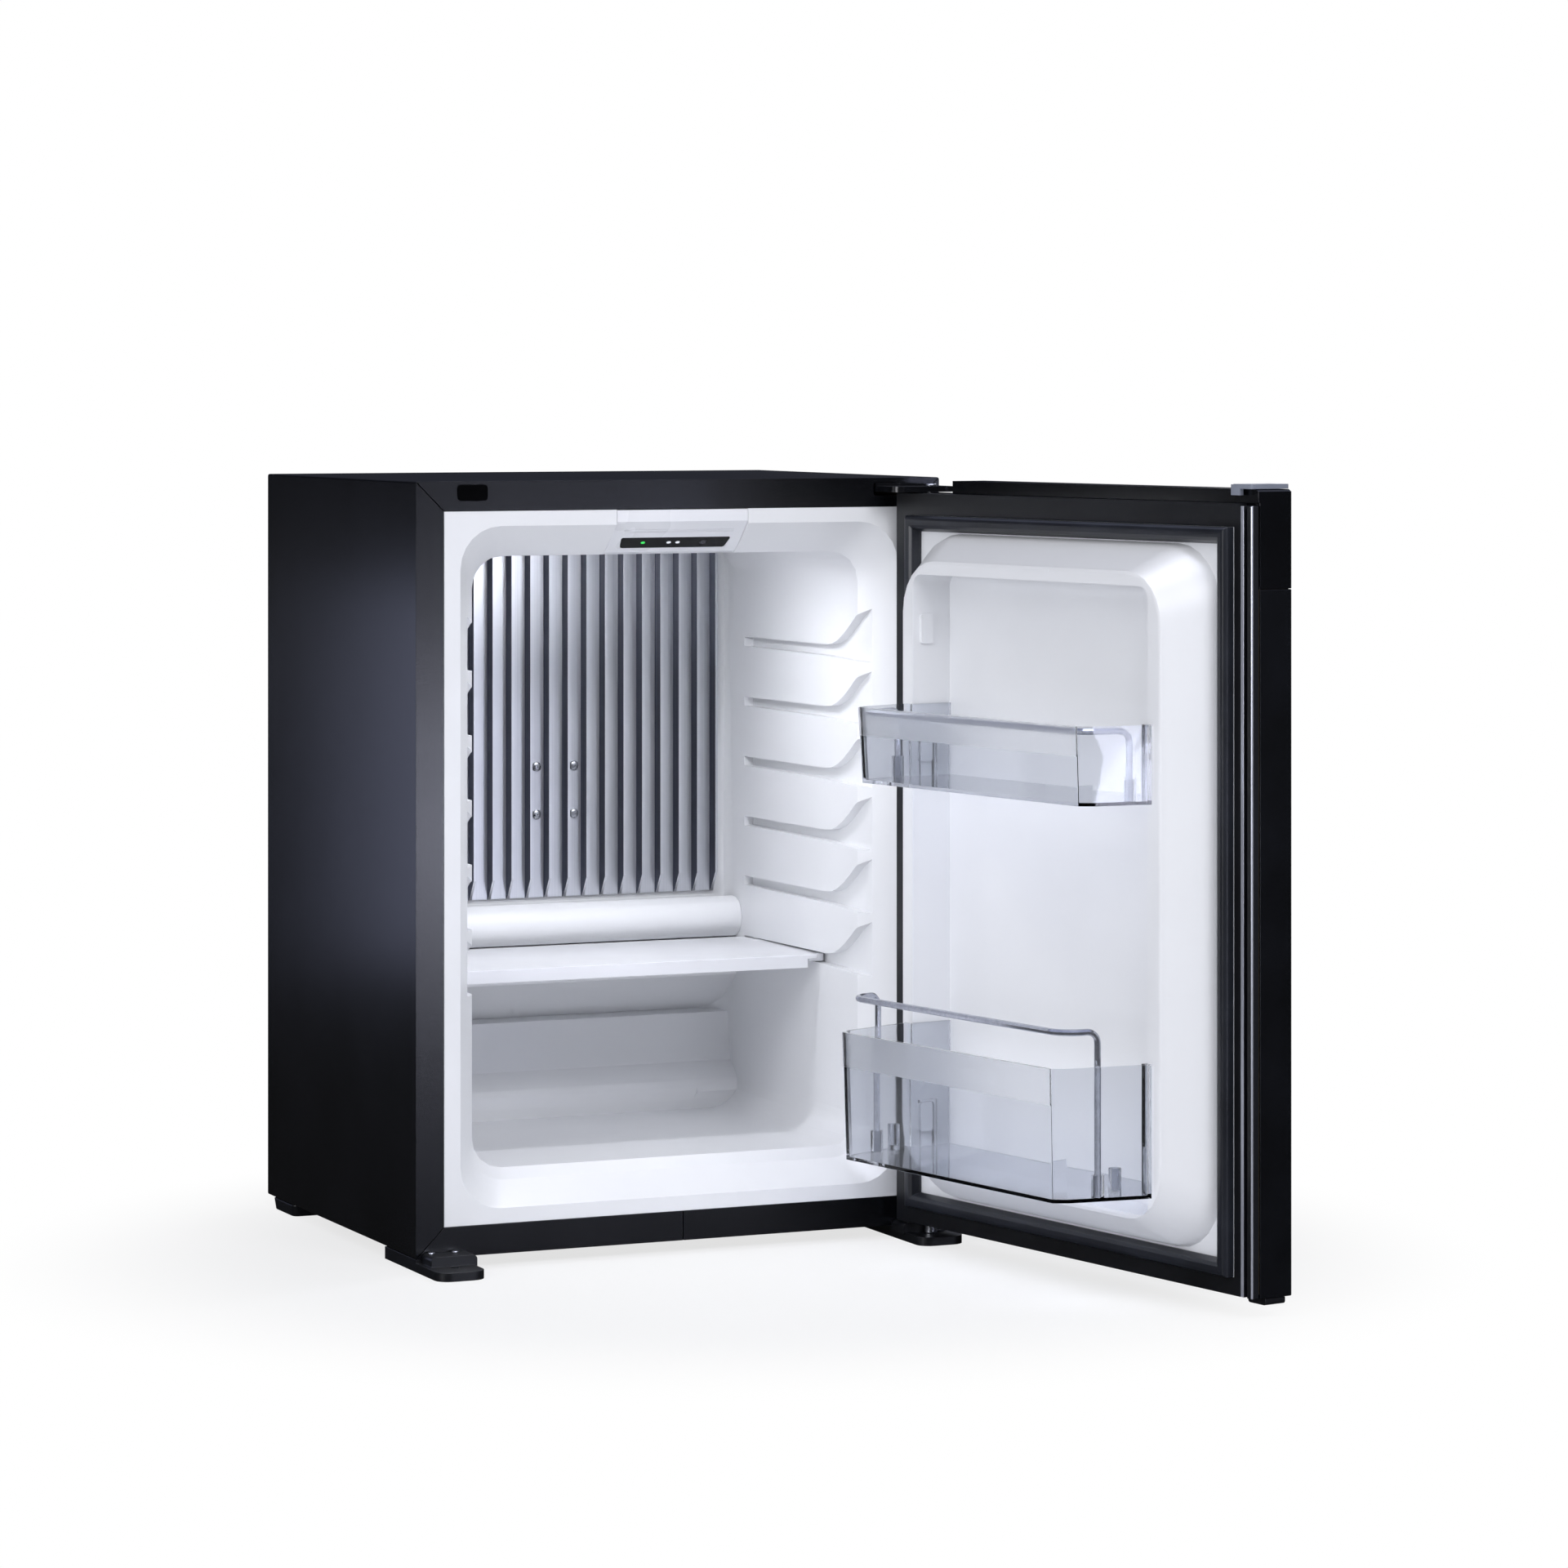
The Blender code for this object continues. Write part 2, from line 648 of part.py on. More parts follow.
def inner_space(grown):
    """Space inside the liner behind the mouth, grown outward by a wall."""
    half = INNER_HALF + grown
    body = prism(liner_profile(grown), "x", -half, half)
    front = MOUTH_DEPTH - 3 * MM - grown
    rear = STEP_BACK + grown + 5 * MM
    section = rounded(-half, half, INNER_LOW - grown, INNER_HIGH + grown, INNER_CORNER + grown, 4)
    plan_corner = BACK_CORNER + grown
    plan = rounded(-half, half, front, STEP_BACK + grown, (plan_corner, plan_corner, 0, 0), 4)
    tunnel = prism(section, "y", front, rear)
    column = prism(plan, "z", INNER_LOW - grown - 1 * MM, INNER_HIGH + grown + 1 * MM)
    return common(body, tunnel, column)


def mouth_space(grown, front):
    """Flared mouth of the liner, grown outward by a wall."""
    steps = 6
    rings = []
    inside = 0.6 * MM
    slope = (
        (0.0, MOUTH_HALF, MOUTH_LOW, MOUTH_HIGH, MOUTH_CORNER),
        (MOUTH_DEPTH * 0.35, MOUTH_HALF - 8.2 * MM, MOUTH_LOW + 7.5 * MM, MOUTH_HIGH - 10 * MM, MOUTH_CORNER),
        (MOUTH_DEPTH * 0.62, GROOVE_HALF, MOUTH_LOW + 12.5 * MM, MOUTH_HIGH - 16.5 * MM, MOUTH_CORNER - 3 * MM),
        (MOUTH_DEPTH * 0.85, INNER_HALF + 2 * MM, RAMP_TOP, INNER_HIGH + 1.6 * MM,
         INNER_CORNER + 2 * MM),
        (MOUTH_DEPTH, INNER_HALF - inside, INNER_LOW + inside, INNER_HIGH - inside, INNER_CORNER),
    )
    for depth, half, low, high, corner in slope:
        outline = rounded(-half - grown, half + grown, low - grown, high + grown, corner + grown, steps)
        level = front if depth == 0.0 else depth
        rings.append([(a, level, b) for a, b in outline])
    return loft(rings)


def groove_outline(level, grown):
    """Side view of one guide groove: level at the back, swept up through the mouth at the front."""
    high = level + GROOVE_HEIGHT
    sweep_steps = 5
    points = [(GROOVE_BACK + grown, level - grown), (GROOVE_BACK + grown, high + grown)]
    run = GROOVE_SWEEP_FROM - GROOVE_SWEEP_TO
    rise = GROOVE_SWEEP_RISE - GROOVE_HEIGHT - 1.1 * MM
    for step in range(sweep_steps + 1):
        share = step / sweep_steps
        depth = GROOVE_SWEEP_FROM - run * share
        climb = rise * (1 - math.cos(share * math.pi / 2))
        points.append((depth, high + 1.1 * MM + climb + grown))
    front = MOUTH_DEPTH * 0.55
    steepness = 0.45
    points.append((front, level + GROOVE_SWEEP_RISE + (GROOVE_SWEEP_TO - front) * steepness + grown))
    points.append((front, level - GROOVE_DROP - grown))
    points.append((GROOVE_SWEEP_FROM, level - grown))
    return points


def groove_levels():
    """Level of the lower face of each groove at the back."""
    return [GROOVE_TOP_LEVEL - GROOVE_PITCH * index for index in range(GROOVE_COUNT)]


def groove_blocks(grown):
    """All guide grooves of both sides as blocks, grown outward by a wall."""
    blocks = []
    for level in groove_levels():
        for side in (-1, 1):
            near = side * (INNER_HALF - 5 * MM)
            far = side * (GROOVE_HALF + grown)
            blocks.append(prism(groove_outline(level, grown), "x", min(near, far), max(near, far)))
    return gather(*blocks)


def cabinet_liner(parent):
    """Thermoformed white shell with its flange, flared mouth, guide grooves and stepped rear."""
    flange_half = CABINET_WIDTH / 2 - FRAME_WIDTH - GAP
    flange_low = FRAME_WIDTH + GAP
    flange_high = CABINET_HEIGHT - FRAME_WIDTH - GAP
    flange = box(-flange_half, flange_half, GAP, GAP + LINER_WALL, flange_low, flange_high)
    mouth = mouth_space(LINER_WALL, GAP + LINER_WALL / 2)
    shell = unite(inner_space(LINER_WALL), groove_blocks(LINER_WALL), mouth, flange)
    shell = cut(shell, mouth_space(0, -1 * MM), inner_space(0), groove_blocks(0))
    pocket = prism(rounded(-POCKET_HALF, POCKET_HALF, POCKET_LOW, POCKET_HIGH,
                           (POCKET_HIGH - POCKET_LOW) / 2 - 0.5 * MM, 4), "y",
                   BULGE_FRONT - POCKET_DEPTH, BULGE_FRONT + 1.2 * MM)
    shell = close_slivers(cut(shell, pocket, panel_block(GAP, LINER_WALL)), 0.05 * MM)
    return keep(shell, "cabinet_liner", WHITE_LINER, parent, 30)


def insulation_foam(parent):
    """Rigid foam between casing and liner, with the passage of the evaporator's insulating plug."""
    half = CABINET_WIDTH / 2 - SHEET - GAP
    low = SHEET + GAP
    high = CABINET_HEIGHT - SHEET - GAP
    front = FRAME_LIP + GAP
    back = CABINET_DEPTH - REAR_PANEL - GAP * 2
    body = box(-half, half, front, back, low, high)
    clear = GROOVE_HALF + LINER_WALL + GAP
    wall = LINER_WALL + GAP
    flare_half = MOUTH_HALF
    flare = loft([
        [(a, front - 1 * MM, b) for a, b in rounded(-flare_half, flare_half, MOUTH_LOW, MOUTH_HIGH, 20 * MM)],
        [(a, MOUTH_DEPTH * 0.85, b) for a, b in rounded(-clear, clear, RAMP_TOP - wall, INNER_HIGH + 1.6 * MM + wall,
                                                        12 * MM)],
        [(a, MOUTH_DEPTH, b) for a, b in rounded(-clear, clear, INNER_LOW - wall, INNER_HIGH + wall, 12 * MM)],
    ])
    hollow = prism(liner_profile(wall), "x", -clear, clear)
    body = cut(body, flare, hollow)
    body = cut(body, plug_block(0, BACK_WALL, CABINET_DEPTH), panel_block(GAP))
    return keep(body, "insulation_foam", FOAM, parent)


def plug_block(shrink, front, back):
    """Tapered block of the insulating plug behind the evaporator."""
    half = PLUG_HALF - shrink
    rings = []
    for depth, taper in ((front, 4 * MM), (back, 0.0)):
        outline = rounded(-half + taper, half - taper, PLUG_LOW + shrink + taper, PLUG_HIGH - shrink - taper,
                          10 * MM, 3)
        rings.append([(a, depth, b) for a, b in outline])
    return loft(rings)


def evaporator_path():
    """Route of the evaporator pipe: out of the unit, along the liner's rear wall and back out."""
    flat = BACK_WALL + LINER_WALL + UNIT_PIPE + GAP * 2
    out = CABINET_DEPTH + UNIT_LINE + UNIT_PIPE
    reach = PLUG_HALF - PLUG_SIDE_MARGIN
    low = PLUG_LOW + PLUG_MARGIN
    high = PLUG_HIGH - PLUG_MARGIN
    corners = [(-reach, out, low), (-reach, flat, low), (reach, flat, low), (reach, flat, high),
               (-reach, flat, high), (-reach, out, high)]
    return bent(corners, 14 * MM, 4)


def evaporator_plug(parent):
    """Insulating plug in the foam's passage, with the channel of the evaporator pipe."""
    front = BACK_WALL + LINER_WALL + GAP
    back = CABINET_DEPTH - REAR_PANEL - GAP * 2
    body = plug_block(GAP, front, back)
    channel = tube(evaporator_path(), UNIT_PIPE + GAP, 3)
    body = cut(body, channel)
    return keep(body, "evaporator_plug", FOAM, parent)


def evaporator_pipe(parent):
    """Ammonia pipe that runs behind the liner's rear wall."""
    return keep(tube(evaporator_path(), UNIT_PIPE - GAP, 2), "evaporator_pipe", BLACK_STEEL, parent, 40)


def rear_panel(parent):
    """Galvanised sheet that closes the casing behind, with the holes of the evaporator pipe."""
    half = CABINET_WIDTH / 2 - SHEET - GAP
    back = CABINET_DEPTH - GAP
    sheet = box(-half, half, back - REAR_PANEL, back, SHEET + GAP, CABINET_HEIGHT - SHEET - GAP)
    reach = PLUG_HALF - PLUG_SIDE_MARGIN
    for level in (PLUG_LOW + PLUG_MARGIN, PLUG_HIGH - PLUG_MARGIN):
        hole = cylinder(UNIT_PIPE + 1 * MM, (-reach, back - 5 * MM, level), (-reach, back + 5 * MM, level))
        sheet = cut(sheet, hole)
    return keep(sheet, "rear_panel", ZINC_STEEL, parent)


def fin_centres():
    """X of each fin's middle."""
    first = EVAPORATOR_CENTRE - FIN_PITCH * (FIN_COUNT - 1) / 2
    return [first + FIN_PITCH * index for index in range(FIN_COUNT)]


def evaporator_plate(parent):
    """Extruded aluminium plate with upright fins whose lower ends are cut off aslant."""
    back = BACK_WALL - GAP
    front = back - EVAPORATOR_PLATE
    tip = front - FIN_DEPTH
    reach = FIN_PITCH * (FIN_COUNT - 1) / 2 + FIN_THICK
    left = EVAPORATOR_CENTRE - reach
    right = EVAPORATOR_CENTRE + reach
    outline = [(left, back), (left, front)]
    for middle in fin_centres():
        root = FIN_THICK * 0.75
        edge = FIN_THICK / 2
        outline += [(middle - root, front), (middle - edge, front - FIN_THICK), (middle - edge, tip),
                    (middle + edge, tip), (middle + edge, front - FIN_THICK), (middle + root, front)]
    outline = [point for point in outline if left <= point[0] <= right]
    outline += [(right, front), (right, back)]
    plate = prism(outline, "z", EVAPORATOR_LOW, EVAPORATOR_HIGH)
    wedge = prism([(tip - 1 * MM, EVAPORATOR_LOW - 1 * MM), (tip - 1 * MM, EVAPORATOR_LOW + FIN_CHAMFER),
                   (tip, EVAPORATOR_LOW + FIN_CHAMFER), (front - 0.5 * MM, EVAPORATOR_LOW),
                   (front - 0.5 * MM, EVAPORATOR_LOW - 1 * MM)], "x", left - 1 * MM, right + 1 * MM)
    plate = cut(plate, wedge)
    for across, level in evaporator_screw_places():
        hole = cylinder(SCREW_SHANK / 2 + GAP, (across, back + 1 * MM, level), (across, tip, level), 12)
        plate = cut(plate, hole)
    return keep(plate, "evaporator_plate", SATIN_ALUMINIUM, parent)


def evaporator_screw_places():
    """Place of each evaporator screw in its bay between two fins."""
    centres = fin_centres()
    across = [(centres[bay] + centres[bay + 1]) / 2 for bay in EVAPORATOR_SCREW_BAYS]
    return [(x, level) for level in (EVAPORATOR_SCREW_HIGH, EVAPORATOR_SCREW_LOW) for x in across]


def pan_head_screw(head, shank, length, high):
    """Pan-head screw along Z: its head above zero, its shank below."""
    profile = [(0, -length), (shank, -length), (shank, 0), (head, 0), (head, high * 0.45),
               (head * 0.86, high * 0.8), (head * 0.5, high * 0.97), (0, high)]
    return revolve(profile, 12)


def evaporator_screws(parent):
    """Four screws that hold the plate to the rear wall."""
    facing = Matrix.Rotation(math.radians(90), 3, "X")
    floor = BACK_WALL - GAP - EVAPORATOR_PLATE
    for number, (across, level) in enumerate(evaporator_screw_places(), start=1):
        screw = pan_head_screw(SCREW_HEAD / 2, SCREW_SHANK / 2, EVAPORATOR_PLATE, SCREW_HEAD_HEIGHT)
        screw = moved(screw, across, floor - GAP, level, facing)
        keep(screw, f"evaporator_screw_{number}", BRIGHT_STEEL, parent, 35)


def drip_gutter(parent):
    """Half-round gutter under the fins, from wall to wall, with its spout to the drain."""
    half = INNER_HALF - GAP
    back = BACK_WALL - GAP
    middle = (GUTTER_LOW + GUTTER_HIGH) / 2
    radius = (GUTTER_HIGH - GUTTER_LOW) / 2
    steps = 8

    def bow(shrink):
        points = []
        for step in range(steps + 1):
            angle = math.pi * (0.5 - step / steps)
            depth = GUTTER_FRONT + radius - (radius - shrink) * math.cos(angle)
            points.append((depth, middle + (radius - shrink) * math.sin(angle)))
        return points

    outer = [(back, GUTTER_HIGH)] + bow(0) + [(back, GUTTER_LOW)]
    body = prism(outer, "x", -half, half)
    trough = [(back - GUTTER_WALL, GUTTER_HIGH + 1 * MM), (GUTTER_FRONT + radius, GUTTER_HIGH + 1 * MM)]
    trough += bow(GUTTER_WALL)[1:] + [(back - GUTTER_WALL, GUTTER_LOW + GUTTER_WALL)]
    body = cut(body, prism(trough, "x", -half + GUTTER_WALL, half - GUTTER_WALL))
    corner_half = half - BACK_CORNER
    for side in (-1, 1):
        edge = [(side * corner_half, back + 1 * MM)]
        for step in range(7):
            angle = math.pi / 2 * step / 6
            edge.append((side * (corner_half + BACK_CORNER * math.sin(angle)),
                         back - BACK_CORNER + BACK_CORNER * math.cos(angle)))
        edge += [(side * (half + 1 * MM), back - BACK_CORNER), (side * (half + 1 * MM), back + 1 * MM)]
        body = cut(body, prism(edge, "z", GUTTER_LOW - 1 * MM, GUTTER_HIGH + 1 * MM))
    return keep(body, "drip_gutter", WHITE_PLASTIC, parent, 30)


def shelf(parent):
    """Moulded shelf: a plate with a front skirt, a rear skirt and runners for the grooves."""
    runner_half = GROOVE_HALF - SHELF_SIDE_PLAY
    plate_half = INNER_HALF - SHELF_SIDE_PLAY
    low = SHELF_TOP - SHELF_THICK
    outline = rounded(-plate_half, plate_half, SHELF_FRONT, SHELF_BACK,
                      (BACK_CORNER * 0.7, BACK_CORNER * 0.7, 4 * MM, 4 * MM), 4)
    body = prism(outline, "z", low, SHELF_TOP)
    runners = prism(rounded(-runner_half, runner_half, SHELF_FRONT + 6 * MM, SHELF_BACK - 18 * MM, 3 * MM, 3),
                    "z", SHELF_TOP - SHELF_RUNNER, SHELF_TOP)
    runners = cut(runners, box(-plate_half + 6 * MM, plate_half - 6 * MM, SHELF_FRONT, SHELF_BACK,
                               SHELF_TOP - SHELF_RUNNER - 1 * MM, low + 0.5 * MM))
    body = unite(body, runners)
    for near, deep in ((SHELF_FRONT, 3 * MM), (SHELF_BACK - 12 * MM, 2.4 * MM)):
        half = SHELF_SKIRT_HALF if near == SHELF_FRONT else SHELF_SKIRT_HALF - 14 * MM
        level = SHELF_SKIRT if near == SHELF_FRONT else SHELF_TOP - SHELF_RUNNER
        body = unite(body, box(-half, half, near, near + deep, level, low + 0.5 * MM))
    for place in (-80 * MM, 0.0, 80 * MM):
        rib = box(place - 1 * MM, place + 1 * MM, SHELF_FRONT + 1.5 * MM, SHELF_BACK - 11 * MM,
                  SHELF_TOP - SHELF_RUNNER, low + 0.5 * MM)
        body = unite(body, rib)
    return keep(body, "shelf", WHITE_PLASTIC, parent, 30)


def panel_outline(grown, proud):
    """Side view of the panel housing, grown by a clearance and proud of its face; (depth, level)."""
    top = CABINET_HEIGHT - FRAME_WIDTH - GAP * 2 + grown * 4
    front = GAP * 2 - 2 * grown - proud
    rear = MOUTH_DEPTH + grown
    return [
        (front, top),
        (front, PANEL_BROW - proud),
        (DISPLAY_HIGH_DEPTH, DISPLAY_HIGH - grown - proud),
        (DISPLAY_LOW_DEPTH, DISPLAY_LOW - grown - proud),
        (PANEL_LIP_DEPTH, PANEL_LIP_LOW - grown - proud),
        (rear, PANEL_LIP_LOW - grown - proud),
        (rear, PANEL_LIP_LOW + PANEL_THICK),
        (PANEL_THICK, top),
    ]


def panel_block(grown, proud=0.0):
    """Body of the panel housing, grown by a clearance."""
    return prism(panel_outline(grown, proud), "x", -PANEL_HALF - grown, PANEL_HALF + grown)


def display_turn():
    """Turn that lays an outline in X and Z, seen from the front, on the display's slope."""
    run = DISPLAY_LOW_DEPTH - DISPLAY_HIGH_DEPTH
    rise = DISPLAY_HIGH - DISPLAY_LOW
    return Matrix.Rotation(math.atan2(run, rise), 3, "X")


def display_height():
    """Length of the display from its lower to its upper edge, along the slope."""
    return math.hypot(DISPLAY_LOW_DEPTH - DISPLAY_HIGH_DEPTH, DISPLAY_HIGH - DISPLAY_LOW)


def on_display(body):
    """Solid made about X = 0, Y = 0 and Z = 0, laid on the middle of the display's face."""
    depth = (DISPLAY_LOW_DEPTH + DISPLAY_HIGH_DEPTH) / 2
    level = (DISPLAY_LOW + DISPLAY_HIGH) / 2
    return moved(body, 0, depth, level, display_turn())


def display_plate(shrink, front, back):
    """Plate with the display's tapered outline, between two depths under its face."""
    half_high = display_height() / 2 - shrink
    wide = DISPLAY_HALF - shrink
    corner = 1.6 * MM
    taper = 2 * MM
    outline = []
    for a, b in rounded(-wide, wide, -half_high, half_high, corner, 3):
        share = (half_high - b) / (2 * half_high)
        outline.append((a - math.copysign(taper * share, a), b))
    return prism(outline, "y", front, back)


def lens_block(across, half_wide, half_high, grown, front, back):
    """Oval lens, grown by a clearance, between two depths under the display's face."""
    outline = rounded(across - half_wide - grown, across + half_wide + grown, -half_high - grown,
                      half_high + grown, half_high + grown - 0.05 * MM, 3)
    return prism(outline, "y", front, back)


def control_panel_housing(parent):
    """Moulded cover at the upper edge of the mouth, with the recess of the display."""
    body = panel_block(0)
    body = cut(body, on_display(display_plate(-GAP, -2 * MM, DISPLAY_THICK + GAP + POWER_TRAVEL)))
    for level in (PANEL_BROW - 6 * MM, PANEL_BROW - 7.6 * MM):
        share = (PANEL_BROW - level) / (PANEL_BROW - DISPLAY_HIGH)
        depth = DISPLAY_HIGH_DEPTH * share
        body = cut(body, box(-DISPLAY_HALF, DISPLAY_HALF, depth - 1 * MM, depth + 0.9 * MM,
                             level - 0.3 * MM, level + 0.3 * MM))
    return keep(body, "control_panel_housing", WHITE_PLASTIC, parent)


def display_window(parent):
    """Glossy black window with the holes of the lenses and the power button."""
    body = display_plate(0, 0, DISPLAY_THICK)
    for across in (STATUS_X, *LEVEL_X):
        body = cut(body, lens_block(across, LENS_WIDE / 2, LENS_HIGH / 2, GAP, -1 * MM, DISPLAY_THICK * 2))
    hole = cylinder(POWER_HALF + GAP, (POWER_X, -1 * MM, 0), (POWER_X, DISPLAY_THICK * 2, 0), 20)
    return keep(on_display(cut(body, hole)), "display_window", GLOSS_BLACK, parent)


def lenses(parent):
    """Green status lens and the two white level lenses."""
    places = ((STATUS_X, "status_lens", GREEN_LENS), (LEVEL_X[0], "level_lens_left", WHITE_LENS),
              (LEVEL_X[1], "level_lens_right", WHITE_LENS))
    for across, name, finish in places:
        body = lens_block(across, LENS_WIDE / 2, LENS_HIGH / 2, 0, 0, DISPLAY_THICK)
        keep(on_display(body), name, finish, parent, 40)


def power_button(parent, place):
    """Round button in the window; its carrier stands on its face, on the axis of its travel."""
    body = cylinder(POWER_HALF, (0, 0, 0), (0, DISPLAY_THICK, 0), 20)
    body = moved(body, turn=display_turn())
    holder = carrier("power_button_axis", place, parent)
    return keep(body, "power_button", GLOSS_BLACK, holder, 40)


def power_place():
    """Middle of the power button's face."""
    depth = (DISPLAY_LOW_DEPTH + DISPLAY_HIGH_DEPTH) / 2
    level = (DISPLAY_LOW + DISPLAY_HIGH) / 2
    return (POWER_X, depth, level)


def slot_plug(parent):
    """Plug in the frame slot that the other hinge side would use."""
    left = -TONGUE_RIGHT
    right = -TONGUE_LEFT
    head = prism(rounded(left - 1.4 * MM, right + 1.4 * MM, SLOT_LOW - 1 * MM, SLOT_HIGH + 1 * MM, 2.6 * MM, 3),
                 "y", -1.2 * MM, -GAP)
    stem = box(left + 0.6 * MM, right - 0.6 * MM, -0.8 * MM, FRAME_LIP * 0.8, SLOT_LOW + 1 * MM,
               SLOT_HIGH - 1 * MM)
    return keep(unite(head, stem), "slot_plug", BLACK_PLASTIC, parent)


def top_hinge_plate(parent):
    """Steel plate of the upper hinge, with its tongue in the frame and the eye of the pin."""
    low = HINGE_PLATE_LOW
    high = low + HINGE_PLATE_THICK
    outline = rounded(HINGE_PLATE_LEFT, HINGE_PLATE_RIGHT, HINGE_PLATE_FRONT, -GAP,
                      (0, 0, HINGE_PLATE_CORNER, HINGE_PLATE_CORNER), 5)
    body = prism(outline, "z", low, high)
    tongue = box(TONGUE_LEFT + GAP, TONGUE_RIGHT - GAP, -1 * MM, TONGUE_BACK - 5 * MM, low, high)
    stand = box(TONGUE_LEFT + GAP, TONGUE_RIGHT - GAP, -3 * MM, -GAP, low, SLOT_HIGH - 0.4 * MM)
    body = unite(body, tongue, stand)
    eye = cylinder(PIN_RADIUS + GAP, (HINGE_X, HINGE_Y, low - 1 * MM), (HINGE_X, HINGE_Y, high + 1 * MM))
    return keep(cut(body, eye), "top_hinge_plate", BLACK_STEEL, parent)


def top_hinge_pin(parent):
    """Headed pin that hangs from the plate into the door's upper bush."""
    high = HINGE_PLATE_LOW + HINGE_PLATE_THICK
    low = HINGE_PLATE_LOW - 11 * MM
    head = PIN_RADIUS + 1.4 * MM
    profile = [(0, low), (PIN_RADIUS - 0.6 * MM, low), (PIN_RADIUS, low + 0.6 * MM), (PIN_RADIUS, high + GAP),
               (head, high + GAP), (head, high + 1.4 * MM), (head - 0.4 * MM, high + 1.8 * MM),
               (0, high + 1.8 * MM)]
    return keep(moved(revolve(profile, 16), HINGE_X, HINGE_Y), "top_hinge_pin", ZINC_STEEL, parent, 35)


def foot_bracket(parent, side, name):
    """Front foot: a plate under the casing with a block before the frame."""
    low = -FOOT_HEIGHT
    plate = prism(rounded(FOOT_HALF_IN, FOOT_HALF_OUT, FOOT_FRONT, FOOT_BACK,
                          (2 * MM, 2 * MM, FOOT_CORNER, FOOT_CORNER), 5), "z", low, low + FOOT_PLATE)
    under = box(FOOT_HALF_IN, FOOT_HALF_OUT, GAP, FOOT_BACK, low, -GAP)
    block = prism(rounded(FOOT_BLOCK_IN, FOOT_BLOCK_OUT, low + FOOT_PLATE - 1 * MM, FOOT_BLOCK_TOP,
                          (3 * MM, 3 * MM, 0, 0), 4), "y", FOOT_BLOCK_FRONT, -GAP * 2)
    arm = prism(rounded(FOOT_HALF_IN + 3 * MM, FOOT_BLOCK_OUT, HINGE_Y - 9 * MM, -1 * MM,
                        (0, 0, 8 * MM, 8 * MM), 5), "z", low, low + FOOT_PLATE)
    body = unite(plate, under, block, arm)
    for across in FOOT_SCREWS:
        hole = cylinder(FOOT_SCREW_SHANK + GAP, (across, FOOT_SCREW_Y, 0),
                        (across, FOOT_SCREW_Y, FOOT_BLOCK_TOP + 1 * MM), 12)
        body = cut(body, hole)
    eye = cylinder(PIN_RADIUS + GAP, (HINGE_X, HINGE_Y, low + 1.5 * MM), (HINGE_X, HINGE_Y, FOOT_BLOCK_TOP))
    body = cut(body, eye)
    if side < 0:
        body = mirrored(body)
    return keep(body, name, BLACK_PLASTIC, parent)


def lower_hinge_pin(parent):
    """Shouldered pin that stands in the right foot and carries the door."""
    low = -FOOT_HEIGHT + 1.5 * MM + GAP
    shelf_level = -FOOT_HEIGHT + FOOT_PLATE + GAP
    shoulder = DOOR_LOW - GAP
    high = DOOR_LOW + 9 * MM
    wide = PIN_RADIUS + 2 * MM
    profile = [(0, low), (PIN_RADIUS, low), (PIN_RADIUS, shelf_level), (wide, shelf_level), (wide, shoulder),
               (PIN_RADIUS, shoulder), (PIN_RADIUS, high - 0.6 * MM), (PIN_RADIUS - 0.6 * MM, high), (0, high)]
    return keep(moved(revolve(profile, 16), HINGE_X, HINGE_Y), "lower_hinge_pin", ZINC_STEEL, parent, 35)


def foot_screws(parent):
    """Small screws on top of both front feet."""
    number = 0
    for side in (-1, 1):
        for across in FOOT_SCREWS:
            number += 1
            screw = pan_head_screw(FOOT_SCREW_SHANK * 2, FOOT_SCREW_SHANK, FOOT_SCREW_DEEP, FOOT_SCREW_HIGH)
            screw = moved(screw, side * across, FOOT_SCREW_Y, FOOT_BLOCK_TOP + GAP)
            keep(screw, f"foot_screw_{number}", BRIGHT_STEEL, parent, 35)


def rear_feet(parent):
    """Moulded feet under the rear corners."""
    for side, name in ((-1, "rear_foot_left"), (1, "rear_foot_right")):
        near = FOOT_HALF_OUT - REAR_FOOT_WIDE
        foot = loft([
            [(a, b, -FOOT_HEIGHT) for a, b in
             rounded(near + 1.5 * MM, FOOT_HALF_OUT - 1 * MM, REAR_FOOT_FRONT + 1.5 * MM,
                     REAR_FOOT_BACK - 1.5 * MM, 5 * MM)],
            [(a, b, -GAP) for a, b in rounded(near, FOOT_HALF_OUT, REAR_FOOT_FRONT, REAR_FOOT_BACK, 5 * MM)],
        ])
        if side < 0:
            foot = mirrored(foot)
        keep(foot, name, BLACK_PLASTIC, parent)


def unit_point(across, level):
    """Point on the middle line of the cooling unit behind the casing."""
    return (across, CABINET_DEPTH + UNIT_LINE, level)


def tail_trim(level):
    """Room that the evaporator pipe's tail takes out of a pipe that meets it."""
    reach = -PLUG_HALF + PLUG_SIDE_MARGIN
    back = CABINET_DEPTH + UNIT_LINE + UNIT_PIPE * 2
    return cylinder(UNIT_PIPE + GAP, (reach, CABINET_DEPTH, level), (reach, back, level), 16)


